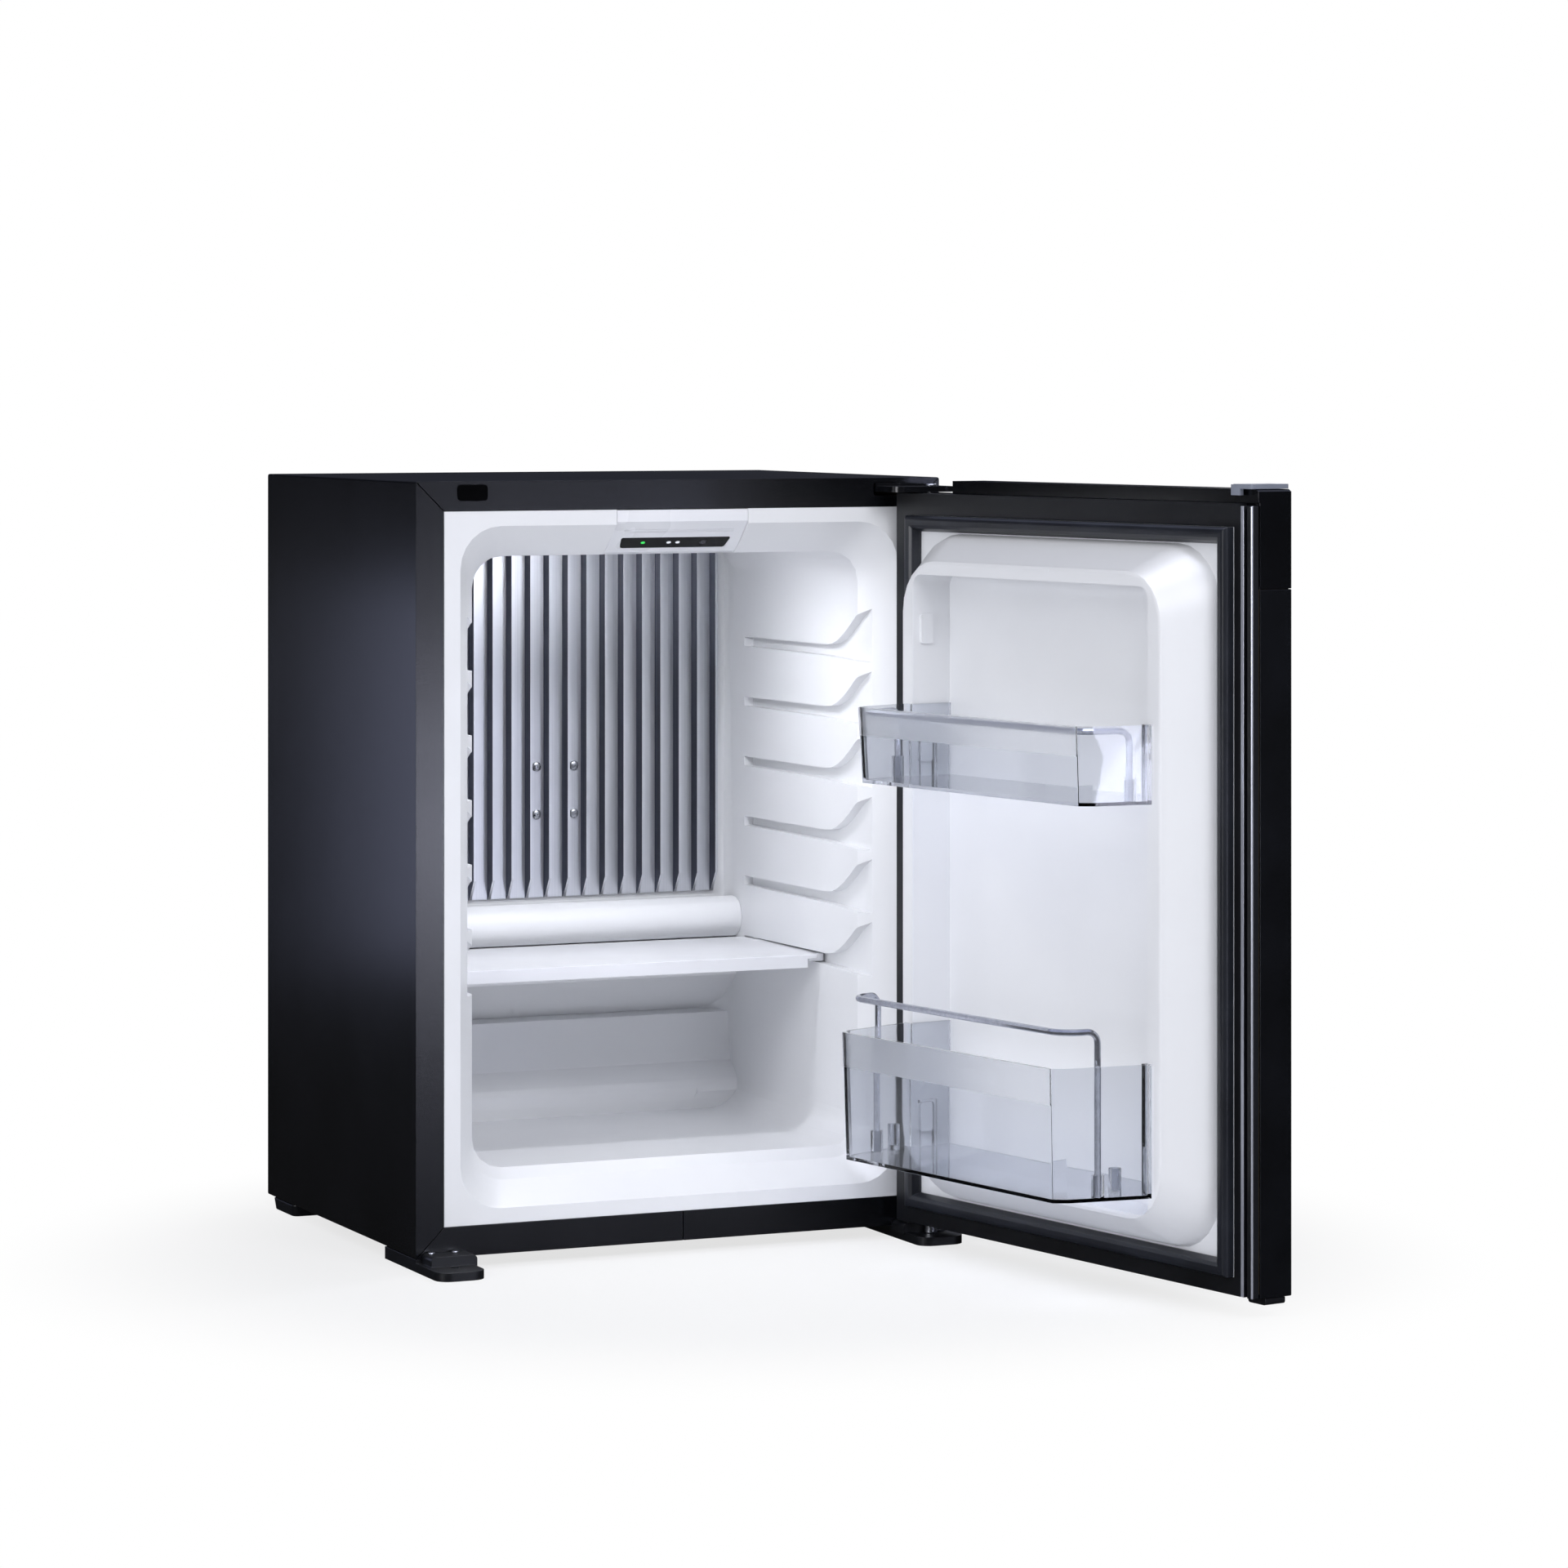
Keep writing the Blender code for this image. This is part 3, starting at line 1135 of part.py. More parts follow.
def condenser(parent):
    """Finned pipe at the top of the unit, from the boiler's pump pipe to the evaporator."""
    tail = -PLUG_HALF + PLUG_SIDE_MARGIN
    level = PLUG_HIGH - PLUG_MARGIN
    corners = [unit_point(BOILER_X, BOILER_HIGH + GAP), unit_point(BOILER_X, CONDENSER_LEVEL),
               unit_point(CONDENSER_LEFT, CONDENSER_LEVEL), unit_point(CONDENSER_LEFT, level),
               unit_point(tail, level)]
    pipe = cut(tube(bent(corners, UNIT_BEND, 4), UNIT_PIPE, 2), tail_trim(level))
    middle = (BOILER_X + CONDENSER_LEFT) / 2
    line = CABINET_DEPTH + UNIT_LINE
    for index in range(CONDENSER_FINS):
        across = middle + CONDENSER_FIN_PITCH * (index - (CONDENSER_FINS - 1) / 2)
        outline = rounded(line - CONDENSER_FIN_WIDE / 2, line + CONDENSER_FIN_WIDE / 2,
                          CONDENSER_LEVEL - CONDENSER_FIN_HIGH / 2, CONDENSER_LEVEL + CONDENSER_FIN_HIGH / 2,
                          4 * MM, 2)
        pipe = unite(pipe, prism(outline, "x", across, across + CONDENSER_FIN_THICK))
    return keep(pipe, "condenser", BLACK_STEEL, parent, 40)


def absorber_coil(parent):
    """Pipe that climbs in flat runs from the vessel to the evaporator's lower tail."""
    tail = -PLUG_HALF + PLUG_SIDE_MARGIN
    low = PLUG_LOW + PLUG_MARGIN
    corners = [unit_point(-COIL_HALF, VESSEL_LEVEL)]
    side = -1
    for run in range(COIL_RUNS):
        level = COIL_LOW + COIL_PITCH * run
        corners.append(unit_point(side * COIL_HALF, level))
        side = -side
        if run < COIL_RUNS - 1:
            corners.append(unit_point(side * COIL_HALF, level))
    top = COIL_LOW + COIL_PITCH * (COIL_RUNS - 1)
    corners += [unit_point(tail, top), unit_point(tail, low)]
    pipe = tube(bent(corners, UNIT_BEND, 3), UNIT_PIPE, 1)
    vessel = cylinder(VESSEL_RADIUS + GAP, unit_point(VESSEL_X - VESSEL_HALF, VESSEL_LEVEL),
                      unit_point(VESSEL_X + VESSEL_HALF, VESSEL_LEVEL), 24)
    return keep(cut(pipe, vessel, tail_trim(low)), "absorber_coil", BLACK_STEEL, parent, 40)


def absorber_vessel(parent):
    """Closed vessel for the ammonia solution, with domed ends."""
    profile = []
    for end in (-1, 1):
        for step in range(5):
            angle = math.pi / 2 * (step / 4 if end < 0 else 1 - step / 4)
            profile.append((VESSEL_RADIUS * math.sin(angle),
                            end * (VESSEL_HALF - VESSEL_RADIUS * 0.5 * (1 - math.cos(angle)))))
    body = revolve(profile, 24)
    body = moved(body, *unit_point(VESSEL_X, VESSEL_LEVEL), Matrix.Rotation(math.radians(90), 3, "Y"))
    return keep(body, "absorber_vessel", BLACK_STEEL, parent, 35)


def solution_pipe(parent):
    """Thin pipe that feeds the boiler from the vessel."""
    corners = [unit_point(VESSEL_X + VESSEL_HALF + GAP, VESSEL_LEVEL), unit_point(BOILER_X, VESSEL_LEVEL),
               unit_point(BOILER_X, BOILER_LOW - GAP)]
    return keep(tube(bent(corners, UNIT_BEND, 4), SOLUTION_PIPE, 2), "solution_pipe", BLACK_STEEL, parent, 40)


def heater_place():
    """X and Y of the heater cartridge inside the boiler's jacket."""
    return BOILER_X + HEATER_OFFSET, CABINET_DEPTH + UNIT_LINE


def boiler_jacket(parent):
    """Insulated sheet-metal jacket of the boiler, with the pocket of its heater."""
    across, line, _ = unit_point(BOILER_X, 0)
    chamfer = 1.5 * MM
    profile = [(0, BOILER_LOW), (BOILER_RADIUS - chamfer, BOILER_LOW), (BOILER_RADIUS, BOILER_LOW + chamfer),
               (BOILER_RADIUS, BOILER_HIGH - chamfer), (BOILER_RADIUS - chamfer, BOILER_HIGH),
               (0, BOILER_HIGH)]
    body = moved(revolve(profile, 32), across, line)
    x, y = heater_place()
    pocket = cylinder(HEATER_RADIUS + GAP, (x, y, BOILER_LOW - 1 * MM), (x, y, HEATER_HIGH + GAP), 16)
    return keep(cut(body, pocket), "boiler_jacket", ZINC_STEEL, parent, 35)


def heater_cartridge(parent):
    """Electric heater that stands in the jacket's pocket."""
    x, y = heater_place()
    body = cylinder(HEATER_RADIUS, (x, y, BOILER_LOW - 6 * MM), (x, y, HEATER_HIGH), 16)
    return keep(body, "heater_cartridge", ZINC_STEEL, parent, 40)


def strap_outline(near, far, radius, middle):
    """Outline of a strap round a cylinder that stands off a wall, with an ear on both sides."""
    steps = 12
    inner = (radius + GAP) / math.cos(math.pi / steps / 2)
    outer = inner + STRAP_THICK
    points = [(near, middle - outer - STRAP_EAR), (near + STRAP_THICK, middle - outer - STRAP_EAR),
              (near + STRAP_THICK, middle - outer)]
    for step in range(steps + 1):
        angle = -math.pi / 2 + math.pi * step / steps
        points.append((far + outer * math.cos(angle), middle + outer * math.sin(angle)))
    points += [(near + STRAP_THICK, middle + outer), (near + STRAP_THICK, middle + outer + STRAP_EAR),
               (near, middle + outer + STRAP_EAR), (near, middle + inner)]
    for step in range(steps + 1):
        angle = math.pi / 2 - math.pi * step / steps
        points.append((far + inner * math.cos(angle), middle + inner * math.sin(angle)))
    points.append((near, middle - inner))
    return points


def straps(parent):
    """Sheet straps that hold the vessel and the boiler to the rear panel."""
    near = CABINET_DEPTH
    far = CABINET_DEPTH + UNIT_LINE
    outline = strap_outline(near, far, VESSEL_RADIUS, VESSEL_LEVEL)
    low = VESSEL_X - STRAP_WIDE / 2
    keep(prism(outline, "x", low, low + STRAP_WIDE), "vessel_strap", ZINC_STEEL, parent)
    outline = [(across, depth) for depth, across in strap_outline(near, far, BOILER_RADIUS, BOILER_X)]
    level = (BOILER_LOW + BOILER_HIGH) / 2
    keep(prism(outline, "z", level, level + STRAP_WIDE), "boiler_strap", ZINC_STEEL, parent)


def electronics_box(parent):
    """Control box at the foot of the unit, with the cut-out of the mains inlet."""
    left = BOX_X - BOX_WIDE / 2
    right = BOX_X + BOX_WIDE / 2
    back = CABINET_DEPTH + BOX_DEEP
    outline = rounded(left, right, BOX_LOW, BOX_LOW + BOX_HIGH, BOX_CORNER, 3)
    inset = 1.5 * MM
    lid = rounded(left + inset, right - inset, BOX_LOW + inset, BOX_LOW + BOX_HIGH - inset, BOX_CORNER, 3)
    body = loft([[(a, depth, b) for a, b in ring] for ring, depth in
                 ((outline, CABINET_DEPTH), (outline, back - inset), (lid, back))])
    body = cut(body, inlet_block(GAP, CABINET_DEPTH + BOX_DEEP - INLET_DEEP - GAP, back + 1 * MM))
    slots = 5
    for index in range(slots):
        level = BOX_LOW + 14 * MM + index * 7 * MM
        body = cut(body, box(left + 10 * MM, left + 38 * MM, back - 1.2 * MM, back + 1 * MM, level, level + 2 * MM))
    return keep(body, "electronics_box", BLACK_PLASTIC, parent)


def inlet_block(grown, front, back):
    """Outline of the mains inlet, grown by a clearance, between two depths."""
    middle = BOX_X + BOX_WIDE / 4
    level = BOX_LOW + BOX_HIGH / 2
    wide = INLET_WIDE / 2 + grown
    high = INLET_HIGH / 2 + grown
    return prism(rounded(middle - wide, middle + wide, level - high, level + high, 3 * MM, 3), "y", front, back)


def mains_inlet(parent):
    """Appliance inlet with its three flat contacts in an open recess."""
    back = CABINET_DEPTH + BOX_DEEP
    front = back - INLET_DEEP
    body = inlet_block(0, front, back + 1.5 * MM)
    middle = BOX_X + BOX_WIDE / 4
    level = BOX_LOW + BOX_HIGH / 2
    wide = INLET_WIDE / 2 - 3.5 * MM
    high = INLET_HIGH / 2 - 4 * MM
    chamfer = 4.5 * MM
    mouth = [(middle - wide, level - high), (middle + wide, level - high), (middle + wide, level + high - chamfer),
             (middle + wide - chamfer, level + high), (middle - wide + chamfer, level + high),
             (middle - wide, level + high - chamfer)]
    body = cut(body, prism(mouth, "y", front + 2 * MM, back + 3 * MM))
    for across, rise in ((-7 * MM, -2 * MM), (0, 3 * MM), (7 * MM, -2 * MM)):
        pin = box(middle + across - 1 * MM, middle + across + 1 * MM, front + 1 * MM, back - 2 * MM,
                  level + rise - 2 * MM, level + rise + 2 * MM)
        body = unite(body, pin)
    return keep(body, "mains_inlet", BLACK_PLASTIC, parent)


def door_piece(body, name, finish, pivot, smooth=None):
    """Door piece shaped in its closed place, moved so that its origin lies on the hinge axis."""
    return keep(moved(body, -HINGE_X, -HINGE_Y), name, finish, pivot, smooth)


def door_depth(inward):
    """Y in the closed place of a distance inward from the rim's plane."""
    return inward - DOOR_GAP


def door_plan(shrink, back):
    """Plan of the door's outer shell, drawn in by a wall, up to a depth."""
    half = DOOR_HALF - shrink
    front = door_depth(-DOOR_THICK) + shrink
    corner = max(DOOR_EDGE - shrink, 1 * MM)
    return rounded(-half, half, front, back, (0, 0, corner, corner), 4)


def door_front_panel(pivot):
    """Steel skin of the lower door, folded back along both sides."""
    back = door_depth(-RIM_THICK) - GAP
    high = DOOR_SPLIT - SPLIT_GAP
    body = prism(door_plan(0, back), "z", DOOR_LOW, high)
    hollow = prism(door_plan(DOOR_SKIN, back + 1 * MM), "z", DOOR_LOW - 1 * MM, high + 1 * MM)
    return door_piece(cut(body, hollow), "door_front_panel", BLACK_STEEL, pivot, 35)


def grip_block(grown):
    """Finger grip sunk into the outer face of the upper module, grown by a wall."""
    front = door_depth(-DOOR_THICK) - 1 * MM
    deep = door_depth(-DOOR_THICK) + GRIP_DEEP + grown
    low = GRIP_LOW - grown
    high = GRIP_LOW + GRIP_HIGH + grown
    points = rounded(front, deep, low, high, (6 * MM, 0, 0, 6 * MM), 4)
    return prism(points, "x", -GRIP_HALF - grown, GRIP_HALF + grown)


def module_block(shrink, low, back):
    """Outside of the upper door module, drawn in by a wall, with its step at the hinge plate."""
    edge = 1.5 * MM
    high = DOOR_HIGH - shrink
    plan = door_plan(shrink, back)
    brow = door_plan(shrink + edge, back)
    body = loft([[(a, b, low) for a, b in plan], [(a, b, high - edge) for a, b in plan],
                 [(a, b, high) for a, b in brow]])
    left = HINGE_X - HINGE_CLEAR - shrink
    room = box(left, DOOR_HALF + 5 * MM, door_depth(-DOOR_THICK) - 5 * MM, back + 5 * MM,
               RIM_HIGH - shrink, DOOR_HIGH + 5 * MM)
    return cut(body, room)


def door_handle_module(pivot):
    """Glossy upper module: front with finger grip, ends and cap in one moulding."""
    wall = MODULE_WALL
    back = door_depth(-CAP_SETBACK)
    body = module_block(0, DOOR_SPLIT, back)
    clear = box(-DOOR_HALF - 1 * MM, DOOR_HALF + 1 * MM, door_depth(-RIM_THICK) - GAP, back + 1 * MM,
                DOOR_SPLIT - 1 * MM, RIM_HIGH + GAP)
    hollow = module_block(wall, DOOR_SPLIT - 1 * MM, door_depth(-RIM_THICK) + 0.1 * MM)
    hollow = cut(hollow, box(-DOOR_HALF, DOOR_HALF, door_depth(-RIM_THICK) - GAP - wall, back, RIM_HIGH - wall,
                             DOOR_HIGH))
    hollow = cut(hollow, grip_block(wall))
    body = cut(body, clear, hollow, grip_block(0))
    bush = cylinder(BUSH_RADIUS + GAP, (HINGE_X, HINGE_Y, RIM_HIGH - 10 * MM),
                    (HINGE_X, HINGE_Y, RIM_HIGH + 1 * MM), 24)
    return door_piece(cut(body, bush), "door_handle_module", GLOSS_BLACK, pivot, 35)


def door_bottom_cap(pivot):
    """Moulded cap that closes the door below and holds the lower bush."""
    back = door_depth(-RIM_THICK) - GAP
    body = prism(door_plan(DOOR_SKIN + GAP, back), "z", DOOR_LOW, DOOR_LOW + CAP_THICK)
    boss = cylinder(BUSH_RADIUS + GAP + 2 * MM, (HINGE_X, HINGE_Y, DOOR_LOW + 1 * MM),
                    (HINGE_X, HINGE_Y, DOOR_LOW + BUSH_LENGTH - 2 * MM), 24)
    hole = cylinder(BUSH_RADIUS + GAP, (HINGE_X, HINGE_Y, DOOR_LOW - 1 * MM),
                    (HINGE_X, HINGE_Y, DOOR_LOW + BUSH_LENGTH), 24)
    return door_piece(cut(unite(body, boss), hole), "door_bottom_cap", BLACK_PLASTIC, pivot)


def door_bushes(pivot):
    """Plain bushes that turn on the two hinge pins."""
    radius = BUSH_RADIUS
    bore = PIN_RADIUS + PIN_CLEARANCE
    lower = cylinder(radius, (HINGE_X, HINGE_Y, DOOR_LOW), (HINGE_X, HINGE_Y, DOOR_LOW + BUSH_LENGTH), 24)
    lower = cut(lower, cylinder(bore, (HINGE_X, HINGE_Y, DOOR_LOW - 1 * MM),
                                (HINGE_X, HINGE_Y, DOOR_LOW + BUSH_LENGTH - 1.5 * MM), 24))
    door_piece(lower, "lower_hinge_bush", GREY_PLASTIC, pivot, 35)
    top = RIM_HIGH + GAP
    upper = cylinder(radius, (HINGE_X, HINGE_Y, top - BUSH_LENGTH - 2 * MM), (HINGE_X, HINGE_Y, top), 24)
    upper = cut(upper, cylinder(bore, (HINGE_X, HINGE_Y, top - BUSH_LENGTH), (HINGE_X, HINGE_Y, top + 1 * MM), 24))
    door_piece(upper, "upper_hinge_bush", GREY_PLASTIC, pivot, 35)


def door_rim_frame(pivot):
    """Black frame on the inner side, with the ledge that carries the liner and the seal."""
    plane = door_depth(0)
    back = door_depth(-RIM_THICK)
    seat = door_depth(-LINER_SKIN) - GAP
    body = box(-DOOR_HALF + PROFILE_WIDE + GAP, DOOR_HALF, back, plane, RIM_LOW, RIM_HIGH)
    half = DOOR_HALF - GASKET_INSET + GAP
    window = box(-half, half, seat, plane + 1 * MM, GASKET_LOW - GAP, GASKET_HIGH + GAP)
    inner = DYKE_BASE_HALF - LEDGE_MARGIN
    through = box(-inner, inner, back - 1 * MM, plane, DYKE_LOW + LEDGE_MARGIN, DYKE_HIGH - LEDGE_MARGIN)
    return door_piece(cut(body, window, through), "door_rim_frame", BLACK_PLASTIC, pivot)


def door_edge_profile(pivot):
    """Aluminium profile along the free end: flat lip, groove and rounded bright nose."""
    plane = door_depth(0)
    left = -DOOR_HALF
    right = left + PROFILE_WIDE
    root = plane - PROFILE_DEEP
    lip = right - PROFILE_GROOVE
    nose = left + PROFILE_GROOVE
    sink = plane - PROFILE_DEEP * 0.6
    outline = [(right, root), (right, plane), (lip, plane), (lip, sink), (lip - PROFILE_GROOVE, sink),
               (lip - PROFILE_GROOVE, plane)]
    steps = 5
    bulge = nose - left
    for step in range(steps + 1):
        angle = math.pi / 2 * (1 + step / steps)
        outline.append((nose + bulge * math.cos(angle), plane + PROFILE_RISE
                        - bulge * 0.5 * (1 - math.sin(angle))))
    outline.append((left, root))
    body = prism(outline, "z", RIM_LOW, RIM_HIGH - 1.5 * MM)
    return door_piece(body, "door_edge_profile", SATIN_ALUMINIUM, pivot, 35)


def dyke_block(shrink, foot):
    """Raised ring of the door liner as a block with sloped sides, drawn in by a wall."""
    rings = []
    slope = ((0.0, 0.0), (0.25, 0.17), (0.85, 0.86), (0.97, 0.97), (1.0, 1.08))
    run = DYKE_BASE_HALF - DYKE_TOP_HALF
    for rise, share in slope:
        half = DYKE_BASE_HALF - run * share - shrink
        low = DYKE_LOW + DYKE_LOW_RUN * share + shrink
        high = DYKE_HIGH - DYKE_HIGH_RUN * share - shrink
        depth = door_depth(DYKE_HEIGHT * rise) - shrink * rise
        if rise == 0.0:
            depth = foot
        corner = DYKE_CORNER - run * 0.4 * share - shrink
        rings.append([(a, depth, b) for a, b in rounded(-half, half, low, high, corner, 6)])
    return loft(rings)


def recess_block(grown):
    """Storage recess inside the raised ring, grown by a wall."""
    half = RECESS_HALF + grown
    outline = rounded(-half, half, RECESS_LOW - grown, RECESS_HIGH + grown, RECESS_CORNER + grown, 4)
    return prism(outline, "y", door_depth(RECESS_FLOOR) - grown, door_depth(DYKE_HEIGHT) + 5 * MM)


def lug_levels():
    """Lower end of each pair of lugs in the recess: lower bin, upper bin and the spare pair."""
    return LOWER_BIN_LOW + LUG_RISE, UPPER_BIN_LOW + LUG_RISE, SPARE_LUG_LOW


def door_liner(pivot):
    """Thermoformed white liner: flange, raised ring, recess and the lugs that carry the bins."""
    plane = door_depth(0)
    half = DOOR_HALF - GASKET_INSET
    flange = box(-half, half, plane - LINER_SKIN, plane, GASKET_LOW, GASKET_HIGH)
    hollow = cut(dyke_block(LINER_SKIN, plane - LINER_SKIN - 1 * MM), recess_block(LINER_SKIN))
    body = unite(flange, dyke_block(0, plane - LINER_SKIN / 2))
    body = cut(body, hollow, recess_block(0))
    for low in lug_levels():
        for side in (-1, 1):
            wall = side * (RECESS_HALF + LINER_SKIN / 2)
            tip = side * (RECESS_HALF - LUG_THICK)
            outline = rounded(door_depth(LUG_NEAR), door_depth(LUG_FAR), low, low + LUG_HEIGHT, 2 * MM, 3)
            body = unite(body, prism(outline, "x", min(wall, tip), max(wall, tip)))
    pad = box(-NOTCH_HALF, NOTCH_HALF, door_depth(DYKE_HEIGHT - LINER_SKIN * 0.8), door_depth(DYKE_HEIGHT) + GAP,
              NOTCH_LEVEL, NOTCH_LEVEL + 2 * MM)
    body = unite(body, pad)
    return door_piece(body, "door_liner", WHITE_LINER, pivot, 35)


def door_foam(pivot):
    """Rigid foam of the door, up into the liner's raised ring."""
    back = door_depth(-RIM_THICK) - GAP
    low = DOOR_LOW + CAP_THICK + GAP
    body = prism(door_plan(MODULE_WALL + GAP, back), "z", low, RIM_HIGH - MODULE_WALL - GAP)
    wall = LINER_SKIN + GAP
    inner = DYKE_BASE_HALF - LEDGE_MARGIN - GAP
    window = box(-inner, inner, back - 1 * MM, door_depth(DYKE_HEIGHT), DYKE_LOW + LEDGE_MARGIN + GAP,
                 DYKE_HIGH - LEDGE_MARGIN - GAP)
    fill = common(cut(dyke_block(wall, back - 1 * MM), recess_block(wall)), window)
    body = cut(unite(body, fill), grip_block(MODULE_WALL + GAP))
    for bottom, top in ((low - 1 * MM, DOOR_LOW + BUSH_LENGTH + GAP),
                        (RIM_HIGH - BUSH_LENGTH - 2 * MM, RIM_HIGH)):
        room = cylinder(BUSH_RADIUS + GAP * 2 + 2 * MM, (HINGE_X, HINGE_Y, bottom), (HINGE_X, HINGE_Y, top), 20)
        body = cut(body, room)
    return door_piece(body, "door_foam", FOAM, pivot)


def door_gasket(pivot):
    """Magnetic seal round the liner: bellows section with its crest near the outer edge."""
    plane = door_depth(0) + GAP
    wide = GASKET_WIDE
    high = GASKET_HEIGHT
    section = ((0, 0), (0, 0.62), (0.12, 0.92), (0.3, 1.0), (0.6, 0.97), (0.8, 0.8), (1.0, 0.22), (1.0, 0))
    half = DOOR_HALF - GASKET_INSET
    rings = []
    for side_x, side_z in ((-1, 0), (1, 0), (1, 1), (-1, 1)):
        ring = []
        for inward, rise in section:
            level = GASKET_HIGH - wide * inward if side_z else GASKET_LOW + wide * inward
            ring.append((side_x * (half - wide * inward), plane + high * rise, level))
        rings.append(ring)
    return door_piece(sweep(rings), "door_gasket", SEAL_RUBBER, pivot, 50)


def door_clips(pivot):
    """Grey travel clip on the cap and the small block under the free end."""
    left = -DOOR_HALF + 1 * MM
    top = prism(rounded(left, left + CLIP_LONG, door_depth(-DOOR_THICK) + 2.5 * MM, door_depth(0), 1.5 * MM, 3),
                "z", DOOR_HIGH + GAP, DOOR_HIGH + GAP + CLIP_THICK)
    tab = box(left + CLIP_LONG - CLIP_TAB, left + CLIP_LONG + 1.5 * MM, door_depth(-3 * MM), door_depth(0),
              DOOR_HIGH - 4 * MM, DOOR_HIGH + CLIP_THICK)
    door_piece(unite(top, tab), "door_top_clip", GREY_PLASTIC, pivot)
    outline = rounded(left, left + CLIP_LONG - 2 * MM, BLOCK_LOW, DOOR_LOW - GAP, (0, 0, 1.8 * MM, 1.8 * MM), 3)
    block = prism(outline, "y", door_depth(-BLOCK_BACK), door_depth(-BLOCK_INSET))
    door_piece(block, "door_bottom_block", BLACK_PLASTIC, pivot)


def bin_plan(front, nose_half, shrink, rear):
    """Plan of a bin: shallow neck in the recess, flare to the ring, then tapered to a blunt front."""
    neck = RECESS_HALF - GAP - shrink
    back_half = BIN_BACK_HALF - shrink
    nose = nose_half - shrink
    nose_depth = front - BIN_NOSE_RUN
    inner = BIN_BACK + shrink
    return [
        (-neck, door_depth(rear)), (neck, door_depth(rear)), (neck, door_depth(inner)),
        (back_half, door_depth(inner)), (nose + 1.2 * MM, door_depth(nose_depth)),
        (nose - BIN_NOSE_RUN * 0.55, door_depth(front - shrink)),
        (-nose + BIN_NOSE_RUN * 0.55, door_depth(front - shrink)), (-nose - 1.2 * MM, door_depth(nose_depth)),
        (-back_half, door_depth(inner)), (-neck, door_depth(inner)),
    ]


def bin_body(low, high, front, nose_half, leg_half, leg_depth, holder, origin, name):
    """Clear moulded bin: open above and behind, hooked on its lugs, with sockets for the wire rail."""
    lower_front = front - BIN_DRAFT
    outer = loft([[(a, b, low) for a, b in bin_plan(lower_front, nose_half - 1 * MM, 0, HOOK_REACH)],
                  [(a, b, high) for a, b in bin_plan(front, nose_half, 0, HOOK_REACH)]])
    hollow = loft([[(a, b, low + BIN_WALL) for a, b in
                    bin_plan(lower_front, nose_half - 1 * MM, BIN_WALL, HOOK_REACH - 3 * MM)],
                   [(a, b, high + 1 * MM) for a, b in bin_plan(front, nose_half, BIN_WALL, HOOK_REACH - 3 * MM)]])
    body = cut(outer, hollow)
    lug_high = low + LUG_RISE + LUG_HEIGHT
    for side in (-1, 1):
        wall = side * (RECESS_HALF + 1 * MM)
        inner = side * (RECESS_HALF - LUG_THICK - GAP * 2)
        outline = rounded(door_depth(LUG_NEAR) - GAP * 2, door_depth(LUG_FAR) + GAP * 2, low - 1 * MM,
                          lug_high + GAP, (2 * MM, 2 * MM, 0, 0), 3)
        channel = prism(outline, "x", min(wall, inner), max(wall, inner))
        sleeve_in = side * (RECESS_HALF - LUG_THICK - GAP * 2 - BIN_WALL)
        sleeve_out = side * (RECESS_HALF - BIN_WALL / 2)
        wrap = box(min(sleeve_out, sleeve_in), max(sleeve_out, sleeve_in), door_depth(LUG_NEAR) - BIN_WALL,
                   door_depth(LUG_FAR) + BIN_WALL, low + BIN_WALL / 4, lug_high + BIN_WALL)
        body = cut(unite(body, wrap), channel)
        socket_top = low + SOCKET_HEIGHT
        spot = (side * leg_half, door_depth(leg_depth))
        socket = cylinder(RAIL_RADIUS + GAP + SOCKET_WALL, (*spot, low + BIN_WALL / 2), (*spot, socket_top), 16)
        bore = cylinder(RAIL_RADIUS + GAP, (*spot, low + BIN_WALL), (*spot, socket_top + 1 * MM), 16)
        body = cut(unite(body, socket), bore)
    return keep(moved(body, -origin[0], -origin[1], -origin[2]), name, CLEAR_PLASTIC, holder)


def rail_body(low, level, front, leg_half, leg_depth, bar_half, bend, holder, origin, name):
    """Wire rail of a bin: two legs in their sockets and a bar across the front."""
    seat = low + BIN_WALL + GAP
    legs = [(leg_half, door_depth(leg_depth)), (bar_half, door_depth(front))]
    corners = [(-legs[0][0], legs[0][1], seat), (-legs[0][0], legs[0][1], level),
               (-legs[1][0], legs[1][1], level), (legs[1][0], legs[1][1], level),
               (legs[0][0], legs[0][1], level), (legs[0][0], legs[0][1], seat)]
    path = bent(corners, (RAIL_LEG_BEND, bend, bend, RAIL_LEG_BEND), 6)
    body = tube(path, RAIL_RADIUS, 2)
    return keep(moved(body, -origin[0], -origin[1], -origin[2]), name, BRIGHT_STEEL, holder, 40)


